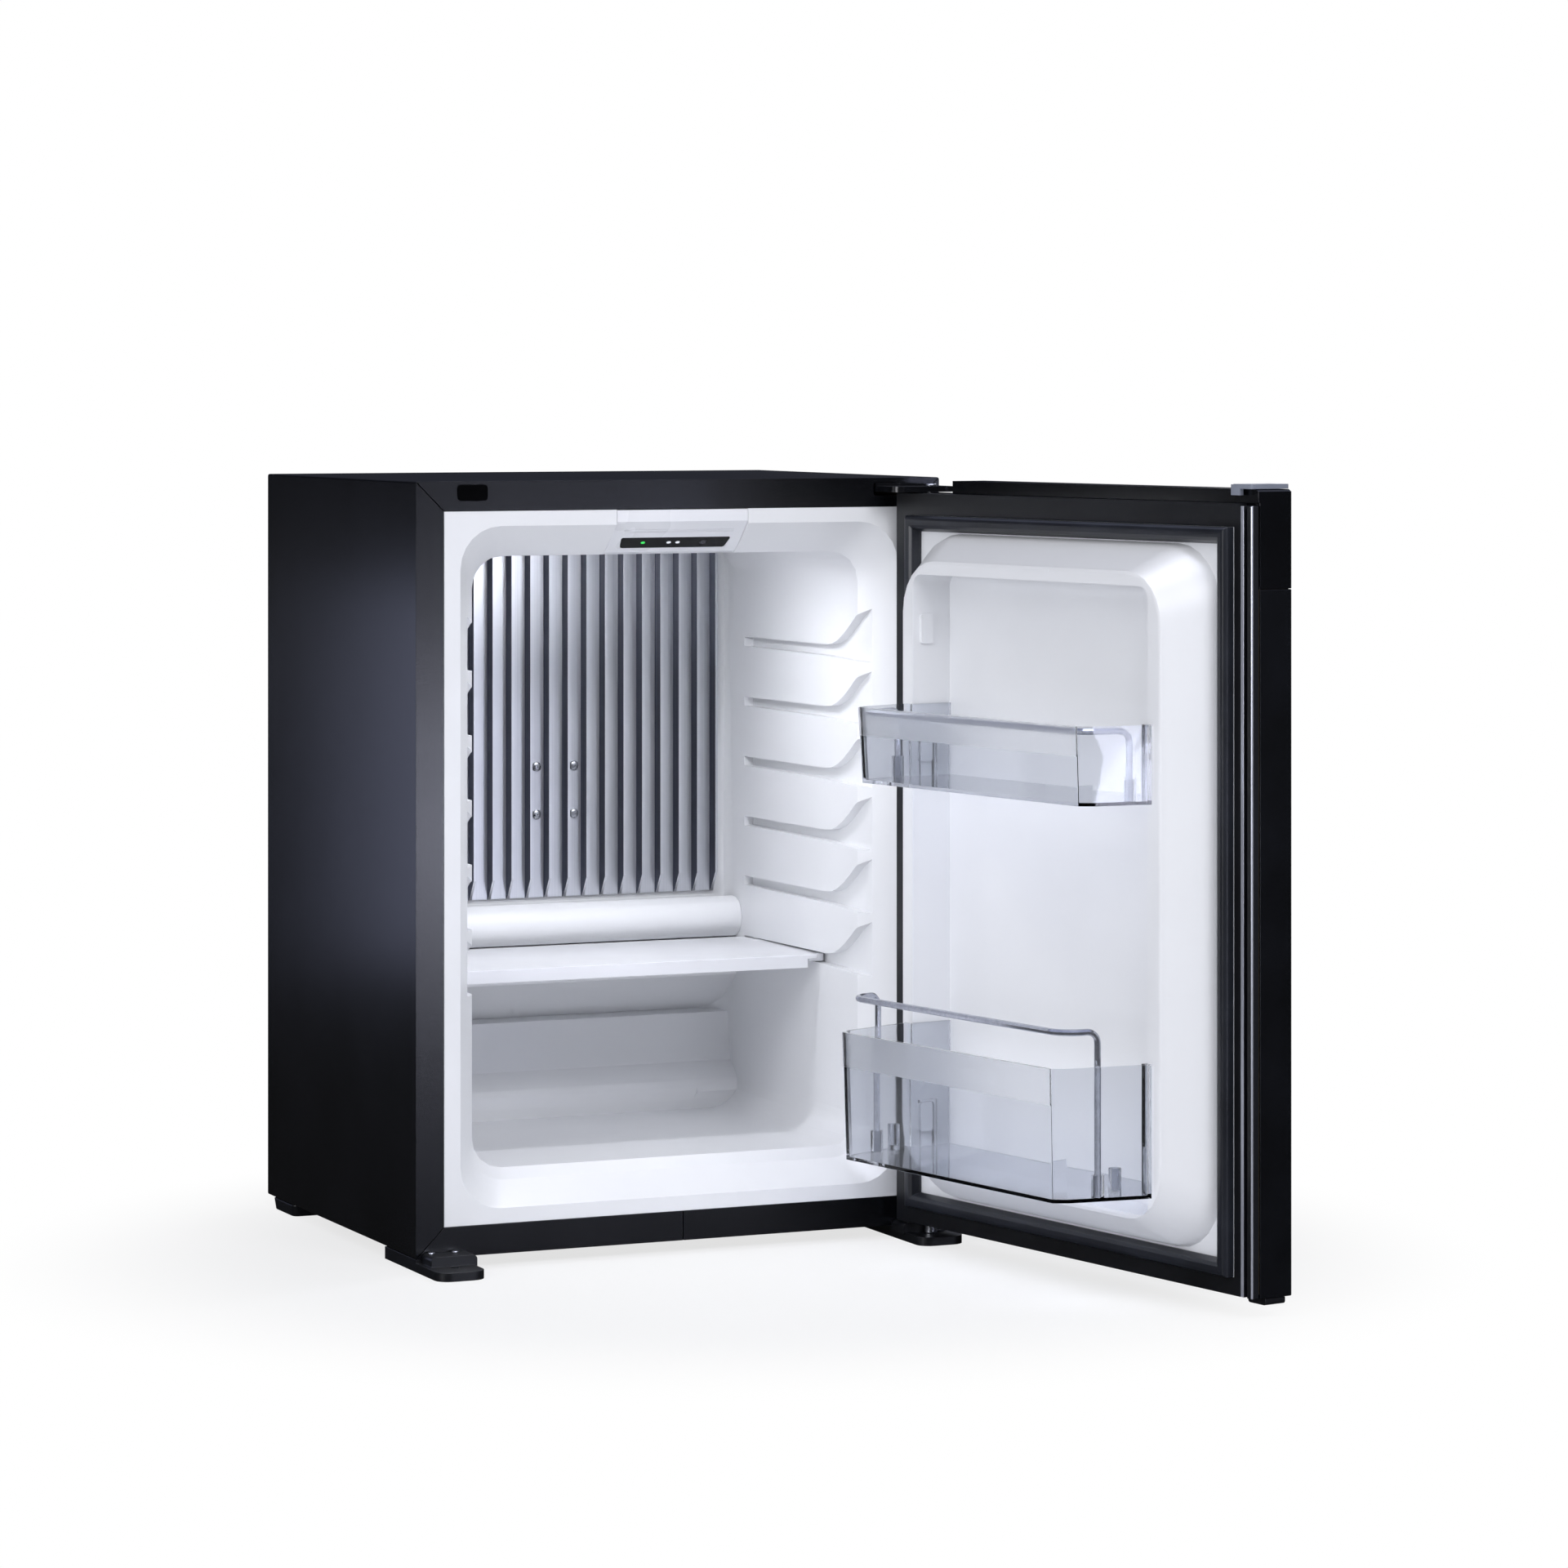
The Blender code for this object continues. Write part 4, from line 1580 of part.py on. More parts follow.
def bins(pivot):
    """Both door bins with their rails, each on its own carrier at the lugs' level."""
    upper = (0.0, door_depth(RECESS_FLOOR), UPPER_BIN_LOW)
    lower = (0.0, door_depth(RECESS_FLOOR), LOWER_BIN_LOW)
    upper_holder = carrier("upper_bin_slide", (upper[0] - HINGE_X, upper[1] - HINGE_Y, upper[2]), pivot)
    lower_holder = carrier("lower_bin_slide", (lower[0] - HINGE_X, lower[1] - HINGE_Y, lower[2]), pivot)
    bin_body(UPPER_BIN_LOW, UPPER_BIN_HIGH, UPPER_BIN_FRONT, UPPER_BIN_NOSE_HALF, UPPER_LEG_HALF,
             UPPER_RAIL_LEG, upper_holder, upper, "upper_bin")
    rail_body(UPPER_BIN_LOW, UPPER_RAIL_LEVEL, UPPER_RAIL_FRONT, UPPER_LEG_HALF, UPPER_RAIL_LEG,
              UPPER_BAR_HALF, RAIL_BEND, upper_holder, upper, "upper_bottle_rail")
    bin_body(LOWER_BIN_LOW, LOWER_BIN_HIGH, LOWER_BIN_FRONT, LOWER_BIN_NOSE_HALF, LOWER_LEG_HALF,
             LOWER_RAIL_LEG, lower_holder, lower, "lower_bin")
    rail_body(LOWER_BIN_LOW, LOWER_RAIL_LEVEL, LOWER_RAIL_FRONT, LOWER_LEG_HALF, LOWER_RAIL_LEG,
              LOWER_BAR_HALF, LOWER_RAIL_BEND, lower_holder, lower, "lower_bottle_rail")


def box_centre():
    """Middle of the object's plan at rest, with the door open, in cabinet coordinates."""
    cosine = math.cos(DOOR_ANGLE)
    sine = math.sin(DOOR_ANGLE)
    round_x = -DOOR_HALF + DOOR_EDGE - HINGE_X
    round_y = door_depth(-DOOR_THICK) + DOOR_EDGE - HINGE_Y
    right = HINGE_X + round_x * cosine - round_y * sine + DOOR_EDGE
    rim_x = -DOOR_HALF - HINGE_X
    rim_y = door_depth(0) - HINGE_Y
    front = HINGE_Y + rim_x * sine + rim_y * cosine
    left = -CABINET_WIDTH / 2
    back = CABINET_DEPTH + UNIT_LINE + BOILER_RADIUS + GAP + STRAP_THICK
    return (left + right) / 2, (front + back) / 2


def main():
    """Build every piece of the minibar on its carrier."""
    middle_x, middle_y = box_centre()
    root = carrier("cabinet_origin", (-middle_x, -middle_y, FOOT_HEIGHT))
    outer_wrapper(root)
    cabinet_liner(root)
    insulation_foam(root)
    rear_panel(root)
    evaporator_plate(root)
    evaporator_screws(root)
    evaporator_plug(root)
    evaporator_pipe(root)
    drip_gutter(root)
    control_panel_housing(root)
    display_window(root)
    lenses(root)
    power_button(root, power_place())
    slot_plug(root)
    top_hinge_plate(root)
    top_hinge_pin(root)
    foot_bracket(root, 1, "front_foot_right")
    foot_bracket(root, -1, "front_foot_left")
    lower_hinge_pin(root)
    foot_screws(root)
    rear_feet(root)
    condenser(root)
    absorber_coil(root)
    absorber_vessel(root)
    solution_pipe(root)
    boiler_jacket(root)
    heater_cartridge(root)
    straps(root)
    electronics_box(root)
    mains_inlet(root)
    shelf(carrier("shelf_slide", (0.0, 0.0, 0.0), root))
    pivot = carrier("door_pivot", (HINGE_X, HINGE_Y, 0.0), root, DOOR_ANGLE)
    door_front_panel(pivot)
    door_handle_module(pivot)
    door_bottom_cap(pivot)
    door_bushes(pivot)
    door_rim_frame(pivot)
    door_edge_profile(pivot)
    door_liner(pivot)
    door_foam(pivot)
    door_gasket(pivot)
    door_clips(pivot)
    bins(pivot)


main()
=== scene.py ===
# %% [markdown]
# # A minibar fridge with its door open
# The fridge arrives as a finished CAD model, in metres, with its door, shelf and bins already in place.
# This lesson dresses it: eased edges, real finishes, the small things that are too fine for the CAD model,
# and the pale studio it stands in. The first cell loads the model.

# %% Load the model
import bpy, json, math
from mathutils import Matrix, Vector


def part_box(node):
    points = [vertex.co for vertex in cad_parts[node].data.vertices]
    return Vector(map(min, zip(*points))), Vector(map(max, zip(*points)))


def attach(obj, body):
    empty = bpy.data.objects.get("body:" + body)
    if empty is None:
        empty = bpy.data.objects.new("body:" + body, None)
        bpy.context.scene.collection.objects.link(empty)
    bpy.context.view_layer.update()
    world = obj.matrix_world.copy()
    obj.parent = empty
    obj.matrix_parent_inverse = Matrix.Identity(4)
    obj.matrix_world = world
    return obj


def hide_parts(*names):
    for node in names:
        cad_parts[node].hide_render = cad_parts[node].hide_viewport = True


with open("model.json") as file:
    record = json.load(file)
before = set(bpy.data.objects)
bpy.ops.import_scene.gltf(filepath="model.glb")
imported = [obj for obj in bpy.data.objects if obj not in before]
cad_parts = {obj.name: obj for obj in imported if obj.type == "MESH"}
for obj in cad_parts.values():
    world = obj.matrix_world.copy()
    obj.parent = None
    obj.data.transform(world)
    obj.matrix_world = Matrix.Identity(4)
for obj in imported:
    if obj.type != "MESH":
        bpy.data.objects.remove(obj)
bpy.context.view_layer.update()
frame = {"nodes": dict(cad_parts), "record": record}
nodes = frame["nodes"]

# %% [markdown]
# ## Places on the cabinet and on the open door
# The model stands with its middle over the origin. It is easier to think from the cabinet's own corner:
# X from the middle of the cabinet, Y from its front face, Z from its underside. The door is drawn as if it
# were shut and then turned 100.2 degrees about its hinge, so one more matrix carries a place on the shut
# door to where the open door is.

# %% Two matrices for placing small pieces
MM = 0.001
CABINET = Matrix.Translation((-0.0327372, 0.0113326, 0.009))
HINGE = Vector((0.182, -0.026, 0.0))
OPEN_ANGLE = math.radians(100.2)
DOOR = (CABINET @ Matrix.Translation(HINGE) @ Matrix.Rotation(OPEN_ANGLE, 4, "Z")
        @ Matrix.Translation(-HINGE))
print("hinge line at", [round(value, 4) for value in (CABINET @ HINGE)])

# %% [markdown]
# ## Camera
# The photograph was taken with a long lens from the left of the fridge and a little above its top, with the
# camera level and the picture cropped low, which keeps upright edges upright. A level camera with a vertical
# shift does the same. Its place comes from the vanishing points of the cabinet's edges.

# %% Camera at the photograph's viewpoint
CAMERA_PLACE = Vector((-1.462314, -3.435569, 0.61192))  # in metres, on the cabinet
CAMERA_TURN = 24.1511  # degrees to the right of straight ahead
SENSOR_WIDTH, FOCAL_LENGTH = 36.0, 121.146  # in mm
CROP_SHIFT = -0.26064  # of the picture's width

camera = bpy.data.objects.new("camera", bpy.data.cameras.new("camera"))
bpy.context.scene.collection.objects.link(camera)
camera.location = CABINET @ CAMERA_PLACE
camera.rotation_euler = (math.radians(90.0), 0.0, math.radians(-CAMERA_TURN))
camera.data.sensor_width = SENSOR_WIDTH
camera.data.lens = FOCAL_LENGTH
camera.data.shift_y = CROP_SHIFT
camera.data.clip_end = 60.0
bpy.context.scene.camera = camera
bpy.context.scene.view_settings.view_transform = "Standard"
print("camera", [round(value, 3) for value in camera.location])

# %% [markdown]
# ## Helpers for materials
# Colours are written as the hex values one would pick from a picture. Those are sRGB, while shaders work in
# linear light, so one function converts them. A second one adds a node, sets what it is given, and links any
# socket that it is handed. Most finishes need the same three things from a pattern, a colour, a roughness
# and a relief, so each of those has a short function too.

# %% Colour and node helpers
def linear(hex_colour):
    """sRGB hex to a linear RGBA tuple."""
    parts = [int(hex_colour[index:index + 2], 16) / 255 for index in (1, 3, 5)]
    light = [part / 12.92 if part <= 0.04045 else ((part + 0.055) / 1.055) ** 2.4
             for part in parts]
    return (*light, 1.0)


def feed(tree, node, inputs):
    """Gives a node its inputs: a socket is linked, and any other value is set."""
    for socket, value in inputs.items():
        if isinstance(value, bpy.types.NodeSocket):
            tree.links.new(value, node.inputs[socket])
        else:
            node.inputs[socket].default_value = value


def add(tree, kind, inputs=None, **settings):
    """A node with its settings; inputs maps a socket's name or number to a value or to another socket."""
    made = tree.nodes.new(kind)
    for name, value in settings.items():
        setattr(made, name, value)
    feed(tree, made, inputs or {})
    return made


def begin(name):
    """A new material: its tree, its shader, already linked to the output, and Object coordinates."""
    material = bpy.data.materials.new(name)
    material.use_nodes = True
    tree = material.node_tree
    tree.nodes.clear()
    shader = add(tree, "ShaderNodeBsdfPrincipled")
    add(tree, "ShaderNodeOutputMaterial", {"Surface": shader.outputs["BSDF"]})
    place = add(tree, "ShaderNodeTexCoord").outputs["Object"]
    return material, tree, shader, place


def per_mm(size):
    """Texture scale for features of that many millimetres on coordinates in metres."""
    return 1.0 / (size * MM)


def noise(tree, place, size, detail):
    """Soft cloudy noise with features of that many millimetres, from 0 to 1."""
    made = add(tree, "ShaderNodeTexNoise", {"Vector": place, "Scale": per_mm(size), "Detail": detail})
    return made.outputs["Fac"]


def two_tones(tree, pattern, first, second, start, end):
    """The first colour where the pattern is below start, the second where it is above end."""
    ramp = add(tree, "ShaderNodeValToRGB", {"Fac": pattern})
    low, high = ramp.color_ramp.elements
    low.position, low.color = start, linear(first)
    high.position, high.color = end, linear(second)
    return ramp.outputs["Color"]


def spread(tree, pattern, low, high):
    """The pattern from 0 to 1 as a value from low to high."""
    made = add(tree, "ShaderNodeMapRange", {"Value": pattern, "To Min": low, "To Max": high})
    return made.outputs["Result"]


def relief(tree, pattern, strength, depth):
    """The pattern as bumps of a depth in millimetres."""
    made = add(tree, "ShaderNodeBump", {"Height": pattern, "Strength": strength, "Distance": depth * MM})
    return made.outputs["Normal"]


def shown(tree, closure):
    """Puts another closure on the material's output."""
    feed(tree, tree.nodes["Material Output"], {"Surface": closure})


print("black steel is about", [round(value, 4) for value in linear("#0C0D11")])

# %% [markdown]
# ## Polyester powder coat on sheet steel
# The casing is steel sheet, powder coated a blue-black. Cured powder keeps a fine orange-peel texture with
# grains of about a millimetre, which breaks up reflections, and hands and cloths polish it unevenly, so its
# gloss wanders softly over a hand's breadth. Two noises at those two scales do this: the fine one only as
# bump, the broad one on colour and roughness. The rear sheet is bare galvanised steel with a coarser grain,
# and the tubes on it are enamelled.

# %% Powder coated steel
COAT_CLOUD = 90  # mm, over which tone and gloss wander


def powder_coat(name, dark, light, rough_low, rough_high, grain):
    material, tree, shader, place = begin(name)
    broad = noise(tree, place, COAT_CLOUD, 3.0)
    peel = noise(tree, place, grain, 2.0)
    feed(tree, shader, {
        "Base Color": two_tones(tree, broad, dark, light, 0.35, 0.68),
        "Roughness": spread(tree, broad, rough_low, rough_high),
        "Normal": relief(tree, peel, 0.22, 0.15),
        "IOR": 1.5})
    return material


casing_coat = powder_coat("powder_coated_steel", "#07080B", "#0C0D11", 0.21, 0.25, 1.6)
rear_coat = powder_coat("galvanised_rear_sheet", "#73777D", "#84888E", 0.42, 0.6, 4.0)
tube_enamel = powder_coat("black_enamelled_tube", "#141518", "#232529", 0.45, 0.7, 2.0)
print(casing_coat.name, rear_coat.name, tube_enamel.name)

# %% [markdown]
# ## Vacuum-formed polystyrene
# The liner and the door's inner skin are drawn over a mould from one sheet of white high-impact polystyrene.
# The skin is smooth and softly glossy, a cool white. The surface is never quite flat: the sheet cools with
# waves a few centimetres long, and has a skin grain near a millimetre. The bump is the waves with a small
# share of the grain on top.

# %% White moulded polystyrene
SHEET_WAVE, SHEET_GRAIN = 60, 1.2  # mm
GRAIN_SHARE = 0.06


def white_plastic(name, bright, shade, rough, wave):
    material, tree, shader, place = begin(name)
    broad = noise(tree, place, SHEET_WAVE, 2.0)
    grain = noise(tree, place, SHEET_GRAIN, 2.0)
    # On a colour mix, sockets 6 and 7 are the two colours, and output 2 is the result.
    tone = add(tree, "ShaderNodeMix", {0: broad, 6: linear(bright), 7: linear(shade)}, data_type="RGBA")
    faint = add(tree, "ShaderNodeMath", {0: grain, 1: GRAIN_SHARE}, operation="MULTIPLY")
    height = add(tree, "ShaderNodeMath", {0: faint.outputs[0], 1: broad}, operation="ADD")
    feed(tree, shader, {
        "Base Color": tone.outputs[2],
        "Roughness": spread(tree, broad, rough - 0.04, rough + 0.06),
        "Normal": relief(tree, height.outputs[0], 0.35, wave),
        "IOR": 1.59})
    return material


liner_plastic = white_plastic("white_polystyrene_liner", "#F1F2F4", "#ECEDEF", 0.34, 0.6)
panel_plastic = white_plastic("white_abs_panel", "#F1F2F5", "#ECEDF1", 0.28, 0.2)
shelf_plastic = white_plastic("white_styrene_shelf", "#F3F4F7", "#EDEEF2", 0.2, 0.3)
print(liner_plastic.name, panel_plastic.name, shelf_plastic.name)

# %% [markdown]
# ## Extruded aluminium
# The evaporator is one aluminium extrusion. The die leaves fine lines along the fins, and satin anodising
# makes them soft. The lines are noise squeezed across the fins and drawn out along them: under a millimetre
# wide, a quarter of a metre long. Light hardly reaches in between the fins, so their flanks get a darker
# copy of the metal, which is painted shade. The door's trim strips are lacquered aluminium, brushed along
# their length: the lacquer takes away part of the mirror, which is why they are only partly metallic.

# %% Satin aluminium with lines along Z
def drawn_aluminium(name, bright, shade, rough_low, rough_high, across, along, metal=1.0):
    material, tree, shader, place = begin(name)
    stretched = add(tree, "ShaderNodeMapping",
                    {"Vector": place, "Scale": (per_mm(across), per_mm(across), per_mm(along))})
    lines = add(tree, "ShaderNodeTexNoise",
                {"Vector": stretched.outputs["Vector"], "Scale": 1.0, "Detail": 4.0}).outputs["Fac"]
    feed(tree, shader, {
        "Base Color": two_tones(tree, lines, shade, bright, 0.3, 0.7),
        "Roughness": spread(tree, lines, rough_low, rough_high),
        "Normal": relief(tree, lines, 0.25, 0.08),
        "Metallic": metal})
    return material


evaporator_metal = drawn_aluminium("anodised_aluminium_fins", "#DCDEE3", "#CFD1D7", 0.36, 0.48, 0.7, 250)
# Painted shade: a darker copy of the fin metal for the flanks between the fins, where little light reaches.
fin_flank_painted_shade = drawn_aluminium("fin_sides_painted_shade", "#6B6F7D", "#4E515E", 0.4, 0.5, 0.7, 250)
trim_metal = drawn_aluminium("brushed_aluminium_trim", "#C9CCD6", "#B4B7C2", 0.24, 0.36, 0.4, 200, 0.55)
print(evaporator_metal.name, fin_flank_painted_shade.name, trim_metal.name)

# %% [markdown]
# ## Black and grey plastics
# The door's frame, its caps and the feet are black ABS with a fine spark-eroded grain, which the mould gives
# them so that scratches don't show. The grip module above the door is polished ABS, a deep gloss with only
# faint waviness, so the same recipe is used with a smoother skin. The display window, the seal, the grey
# clip, the button and the pad print use it too. `mirror` is how strongly the skin reflects: half is usual for
# a plastic, and the dull plug and the coated window have much less. The plug's near-black is partly its own
# black and partly painted shade, as of a dark hole.

# %% Black ABS, grained and polished
MOULD_CLOUD = 45  # mm


def black_plastic(name, dark, light, rough_low, rough_high, grain, depth, mirror=0.5):
    material, tree, shader, place = begin(name)
    broad = noise(tree, place, MOULD_CLOUD, 3.0)
    spark = noise(tree, place, grain, 3.0)
    feed(tree, shader, {
        "Base Color": two_tones(tree, broad, dark, light, 0.3, 0.75),
        "Roughness": spread(tree, broad, rough_low, rough_high),
        "Normal": relief(tree, spark, 0.2, depth),
        "IOR": 1.53,
        "Specular IOR Level": mirror})
    return material


frame_plastic = black_plastic("grained_black_abs", "#090A0E", "#101217", 0.34, 0.44, 0.9, 0.12)
module_plastic = black_plastic("polished_black_abs", "#06070A", "#0A0B0F", 0.16, 0.2, 30.0, 0.05)
# Painted shade: the plug is black plastic, made near-black and barely reflecting so that it reads as a dark
# hole.
plug_black_and_painted_shade = black_plastic("matt_black_plug_painted_shade", "#010102", "#020203", 0.6, 0.7, 0.8, 0.04, 0.03)
print_ink = black_plastic("grey_pad_print", "#5A5D66", "#6C6F78", 0.5, 0.6, 0.3, 0.01)
panel_coat = black_plastic("gloss_coated_door_steel", "#08090C", "#0D0F14", 0.2, 0.28, 2.2, 0.05)
display_plastic = black_plastic("smoked_acrylic_window", "#050608", "#08090C", 0.05, 0.09, 20.0, 0.02, 0.15)
seal_plastic = black_plastic("black_pvc_seal", "#17191F", "#22252D", 0.28, 0.4, 1.5, 0.1)
clip_plastic = black_plastic("grey_abs_clip", "#767B88", "#868B98", 0.35, 0.48, 0.8, 0.08)
button_plastic = black_plastic("dark_rubber_button", "#0C0D10", "#121317", 0.35, 0.45, 0.5, 0.04)
print(frame_plastic.name, module_plastic.name, panel_coat.name, seal_plastic.name)

# %% [markdown]
# ## Clear polystyrene
# The bins are injection-moulded crystal polystyrene: hardly any colour of its own, strong reflections, and
# edges that look darker because one sees along the wall there. The plastic has to let the studio light
# through to what stands behind, so a ray that only asks for shadow passes a thin tint instead of being
# refracted. The band along the top of each bin's front is the same plastic with a matt skin, so it blurs
# what is behind it.

# %% Clear plastic for the bins
CLEAR_INDEX = 1.3  # lower than polystyrene's own 1.59, which bends what is behind a thin wall too far
SHADOW_TINT = "#E9EAEE"


def clear_plastic(name, tint, rough):
    material, tree, shader, place = begin(name)
    flow = noise(tree, place, 25, 2.0)
    feed(tree, shader, {
        "Base Color": linear(tint),
        "Roughness": spread(tree, flow, rough, rough + 0.05),
        "Normal": relief(tree, flow, 0.05, 0.1),
        "Transmission Weight": 1.0,
        "IOR": CLEAR_INDEX})
    passing = add(tree, "ShaderNodeBsdfTransparent", {"Color": linear(SHADOW_TINT)})
    shadow_ray = add(tree, "ShaderNodeLightPath").outputs["Is Shadow Ray"]
    shown(tree, add(tree, "ShaderNodeMixShader", {
        0: shadow_ray, 1: shader.outputs["BSDF"], 2: passing.outputs["BSDF"]}).outputs["Shader"])
    return material


bin_plastic = clear_plastic("crystal_polystyrene", "#E0E2E6", 0.02)
frosted_plastic = clear_plastic("frosted_polystyrene", "#FFFFFF", 0.4)
print(bin_plastic.name, frosted_plastic.name)

# %% [markdown]
# ## Metals of the small parts
# The bottle rails are chromium-plated steel wire, almost a mirror. Screws, hinge pins, straps and the
# boiler's jacket are zinc-plated steel: duller, and cloudy where the plating crystals differ. Cell noise
# (Voronoi) at two or three millimetres gives the clouds.

# %% Chrome and zinc
def plated_steel(name, bright, shade, rough_low, rough_high, cell, metal=1.0):
    material, tree, shader, place = begin(name)
    cloud = add(tree, "ShaderNodeTexVoronoi", {"Vector": place, "Scale": per_mm(cell)},
                feature="SMOOTH_F1").outputs["Distance"]
    feed(tree, shader, {
        "Base Color": two_tones(tree, cloud, bright, shade, 0.1, 0.8),
        "Roughness": spread(tree, cloud, rough_low, rough_high),
        "Metallic": metal})
    return material


wire_chrome = plated_steel("chromed_steel_wire", "#B9BCC6", "#A2A5B0", 0.1, 0.16, 3.0, 0.8)
zinc_plate = plated_steel("zinc_plated_steel", "#C4C6CB", "#A6A9AF", 0.22, 0.42, 2.5)
print(wire_chrome.name, zinc_plate.name)

# %% [markdown]
# ## Foam and lights
# Polyurethane foam fills the walls. Only its aged skin can show, brown and full of cells, in the hairline
# gaps between the door's parts. The indicators are tiny lenses over LEDs: a green one for running and two
# white ones for the chosen level. Each is emissive plastic with a fine grain.

# %% Foam and lamp lenses
def cellular_foam():
    material, tree, shader, place = begin("polyurethane_foam")
    cells = add(tree, "ShaderNodeTexVoronoi", {"Vector": place, "Scale": per_mm(1.5)}).outputs["Distance"]
    feed(tree, shader, {
        "Base Color": two_tones(tree, cells, "#4A4335", "#5E5645", 0.0, 1.0),
        "Normal": relief(tree, cells, 0.5, 0.4),
        "Roughness": 0.85})
    return material


def lamp_lens(name, body, glow, strength):
    material, tree, shader, place = begin(name)
    grain = noise(tree, place, 0.8, 1.0)
    feed(tree, shader, {
        "Base Color": two_tones(tree, grain, body, glow, 0.0, 1.0),
        "Emission Color": linear(glow),
        "Emission Strength": strength,
        "Roughness": 0.25})
    return material


foam = cellular_foam()
green_lens = lamp_lens("green_lamp_lens", "#1E9A3C", "#38D05A", 0.9)
white_lens = lamp_lens("white_lamp_lens", "#C9CCD4", "#EDEFF4", 0.45)
print(foam.name, green_lens.name, white_lens.name)

# %% [markdown]
# ## Dressing a CAD piece
# A CAD piece is a closed shell of loose triangles with razor edges. No real edge is: sheet steel is folded
# over a radius, plastic leaves its mould rounded, and that thin round catches a line of light which makes an
# object look solid. So each piece is copied, its triangles are welded and flat ones joined, its sharp edges
# get a small bevel and its curves are shaded smooth. The copy then stands for the CAD piece, on the same
# body and in the same material slot. A piece with two materials, a second finish or painted shade, gets
# the second one on the faces that pass a test of where they are and which way they look.

# %% A function that dresses one piece
WELD = 0.005 * MM
FLAT = math.radians(0.4)  # triangles that differ less than this are one face
SHARP = math.radians(24.0)  # edges that fold more than this are eased, and others are shaded smooth
dressed = {}


def deselect():
    if bpy.context.object and bpy.context.object.mode != "OBJECT":
        bpy.ops.object.mode_set(mode="OBJECT")
    bpy.ops.object.select_all(action="DESELECT")


def work_on(piece):
    """Makes a piece the only one that is selected and active."""
    deselect()
    piece.select_set(True)
    bpy.context.view_layer.objects.active = piece


def body_of(name):
    """The body that the CAD node of that name rides on."""
    bodies = frame["record"]["behaviour"]["bodies"]
    return next(body for body, members in bodies.items() if name in members)


def ease(piece, width, **settings):
    """Rounds the piece's edges by a bevel of that width in millimetres."""
    easing = piece.modifiers.new("eased edges", "BEVEL")
    easing.width, easing.segments = width * MM, 2
    for name, value in settings.items():
        setattr(easing, name, value)
    bpy.ops.object.modifier_apply(modifier=easing.name)


def repaint(piece, matrix, test):
    """Gives the second material, a finish or painted shade, to the faces that pass a test of place and normal,
    read in that matrix.
    """
    back = matrix.inverted()
    for face in piece.data.polygons:
        if test(back @ face.center, back.to_3x3() @ face.normal):
            face.material_index = 1


def dress(name, materials, edge, reshape=None):
    """A welded, eased and smoothly shaded copy of a CAD node, which replaces it."""
    piece = bpy.data.objects.new(name + "_dressed", nodes[name].data.copy())
    bpy.context.scene.collection.objects.link(piece)
    work_on(piece)
    piece.data.materials.clear()
    for finish in materials:
        piece.data.materials.append(finish)
    bpy.ops.object.mode_set(mode="EDIT")
    bpy.ops.mesh.select_all(action="SELECT")
    bpy.ops.mesh.remove_doubles(threshold=WELD)
    bpy.ops.mesh.dissolve_limited(angle_limit=FLAT)
    bpy.ops.object.mode_set(mode="OBJECT")
    if reshape:
        reshape(piece)
    if edge:
        ease(piece, edge, limit_method="ANGLE", angle_limit=SHARP)
    bpy.ops.object.shade_smooth_by_angle(angle=SHARP)
    weighing = piece.modifiers.new("large faces stay flat", "WEIGHTED_NORMAL")
    weighing.keep_sharp = True
    bpy.ops.object.modifier_apply(modifier=weighing.name)
    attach(piece, body_of(name))
    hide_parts(name)
    dressed[name] = piece


def dress_all(rows):
    """Dresses pieces from rows of name, material and edge in millimetres."""
    for name, material, edge in rows:
        dress(name, [material], edge)


print("ready to dress", len(nodes), "pieces")

# %% [markdown]
# ## The casing
# The wrapper is one folded steel sheet, with its front flange mitred at the corners. Its folds are tight, so
# the edges get only half a millimetre. The moulded feet are rounder.

# %% Casing, rear sheet and hinge parts
dress_all([
    ("outer_wrapper", casing_coat, 0.5), ("rear_panel", rear_coat, 0.2), ("slot_plug", plug_black_and_painted_shade, 0.4),
    ("top_hinge_plate", casing_coat, 0.4), ("top_hinge_pin", zinc_plate, 0.3),
    ("lower_hinge_pin", zinc_plate, 0.3), ("front_foot_left", frame_plastic, 0.6),
    ("front_foot_right", frame_plastic, 0.6), ("rear_foot_left", frame_plastic, 0.8),
    ("rear_foot_right", frame_plastic, 0.8),
])
print("casing:", sum(len(piece.data.polygons) for piece in dressed.values()), "faces")

# %% [markdown]
# ## The inside of the cabinet
# The liner's large rounds are in the CAD model, so it needs only the slight round that a mould leaves. The
# shelf, the drip gutter and the extruded evaporator have real corners, which are eased a little. On the
# evaporator, the fin flanks get a darker metal as painted shade: they look sideways and lie within the fins'
# depth.

# %% Liner, evaporator, gutter and shelf
FIN_TIP, FIN_ROOT = 0.2485, 0.2595  # in metres from the cabinet's front


def fin_side(spot, way):
    """The flanks of the fins, which get painted shade: faces that look sideways between a fin's tip and its
    root.
    """
    return abs(way.x) > 0.6 and FIN_TIP < spot.y < FIN_ROOT


dress_all([
    ("cabinet_liner", liner_plastic, 0.4), ("drip_gutter", liner_plastic, 0.3), ("shelf", shelf_plastic, 0.5),
    ("control_panel_housing", panel_plastic, 0.3), ("display_window", display_plastic, 0.2),
    ("status_lens", green_lens, 0.15), ("level_lens_left", white_lens, 0.15),
    ("level_lens_right", white_lens, 0.15), ("power_button", button_plastic, 0.2),
])
dress("evaporator_plate", [evaporator_metal, fin_flank_painted_shade], 0.25,
      lambda piece: repaint(piece, CABINET, fin_side))

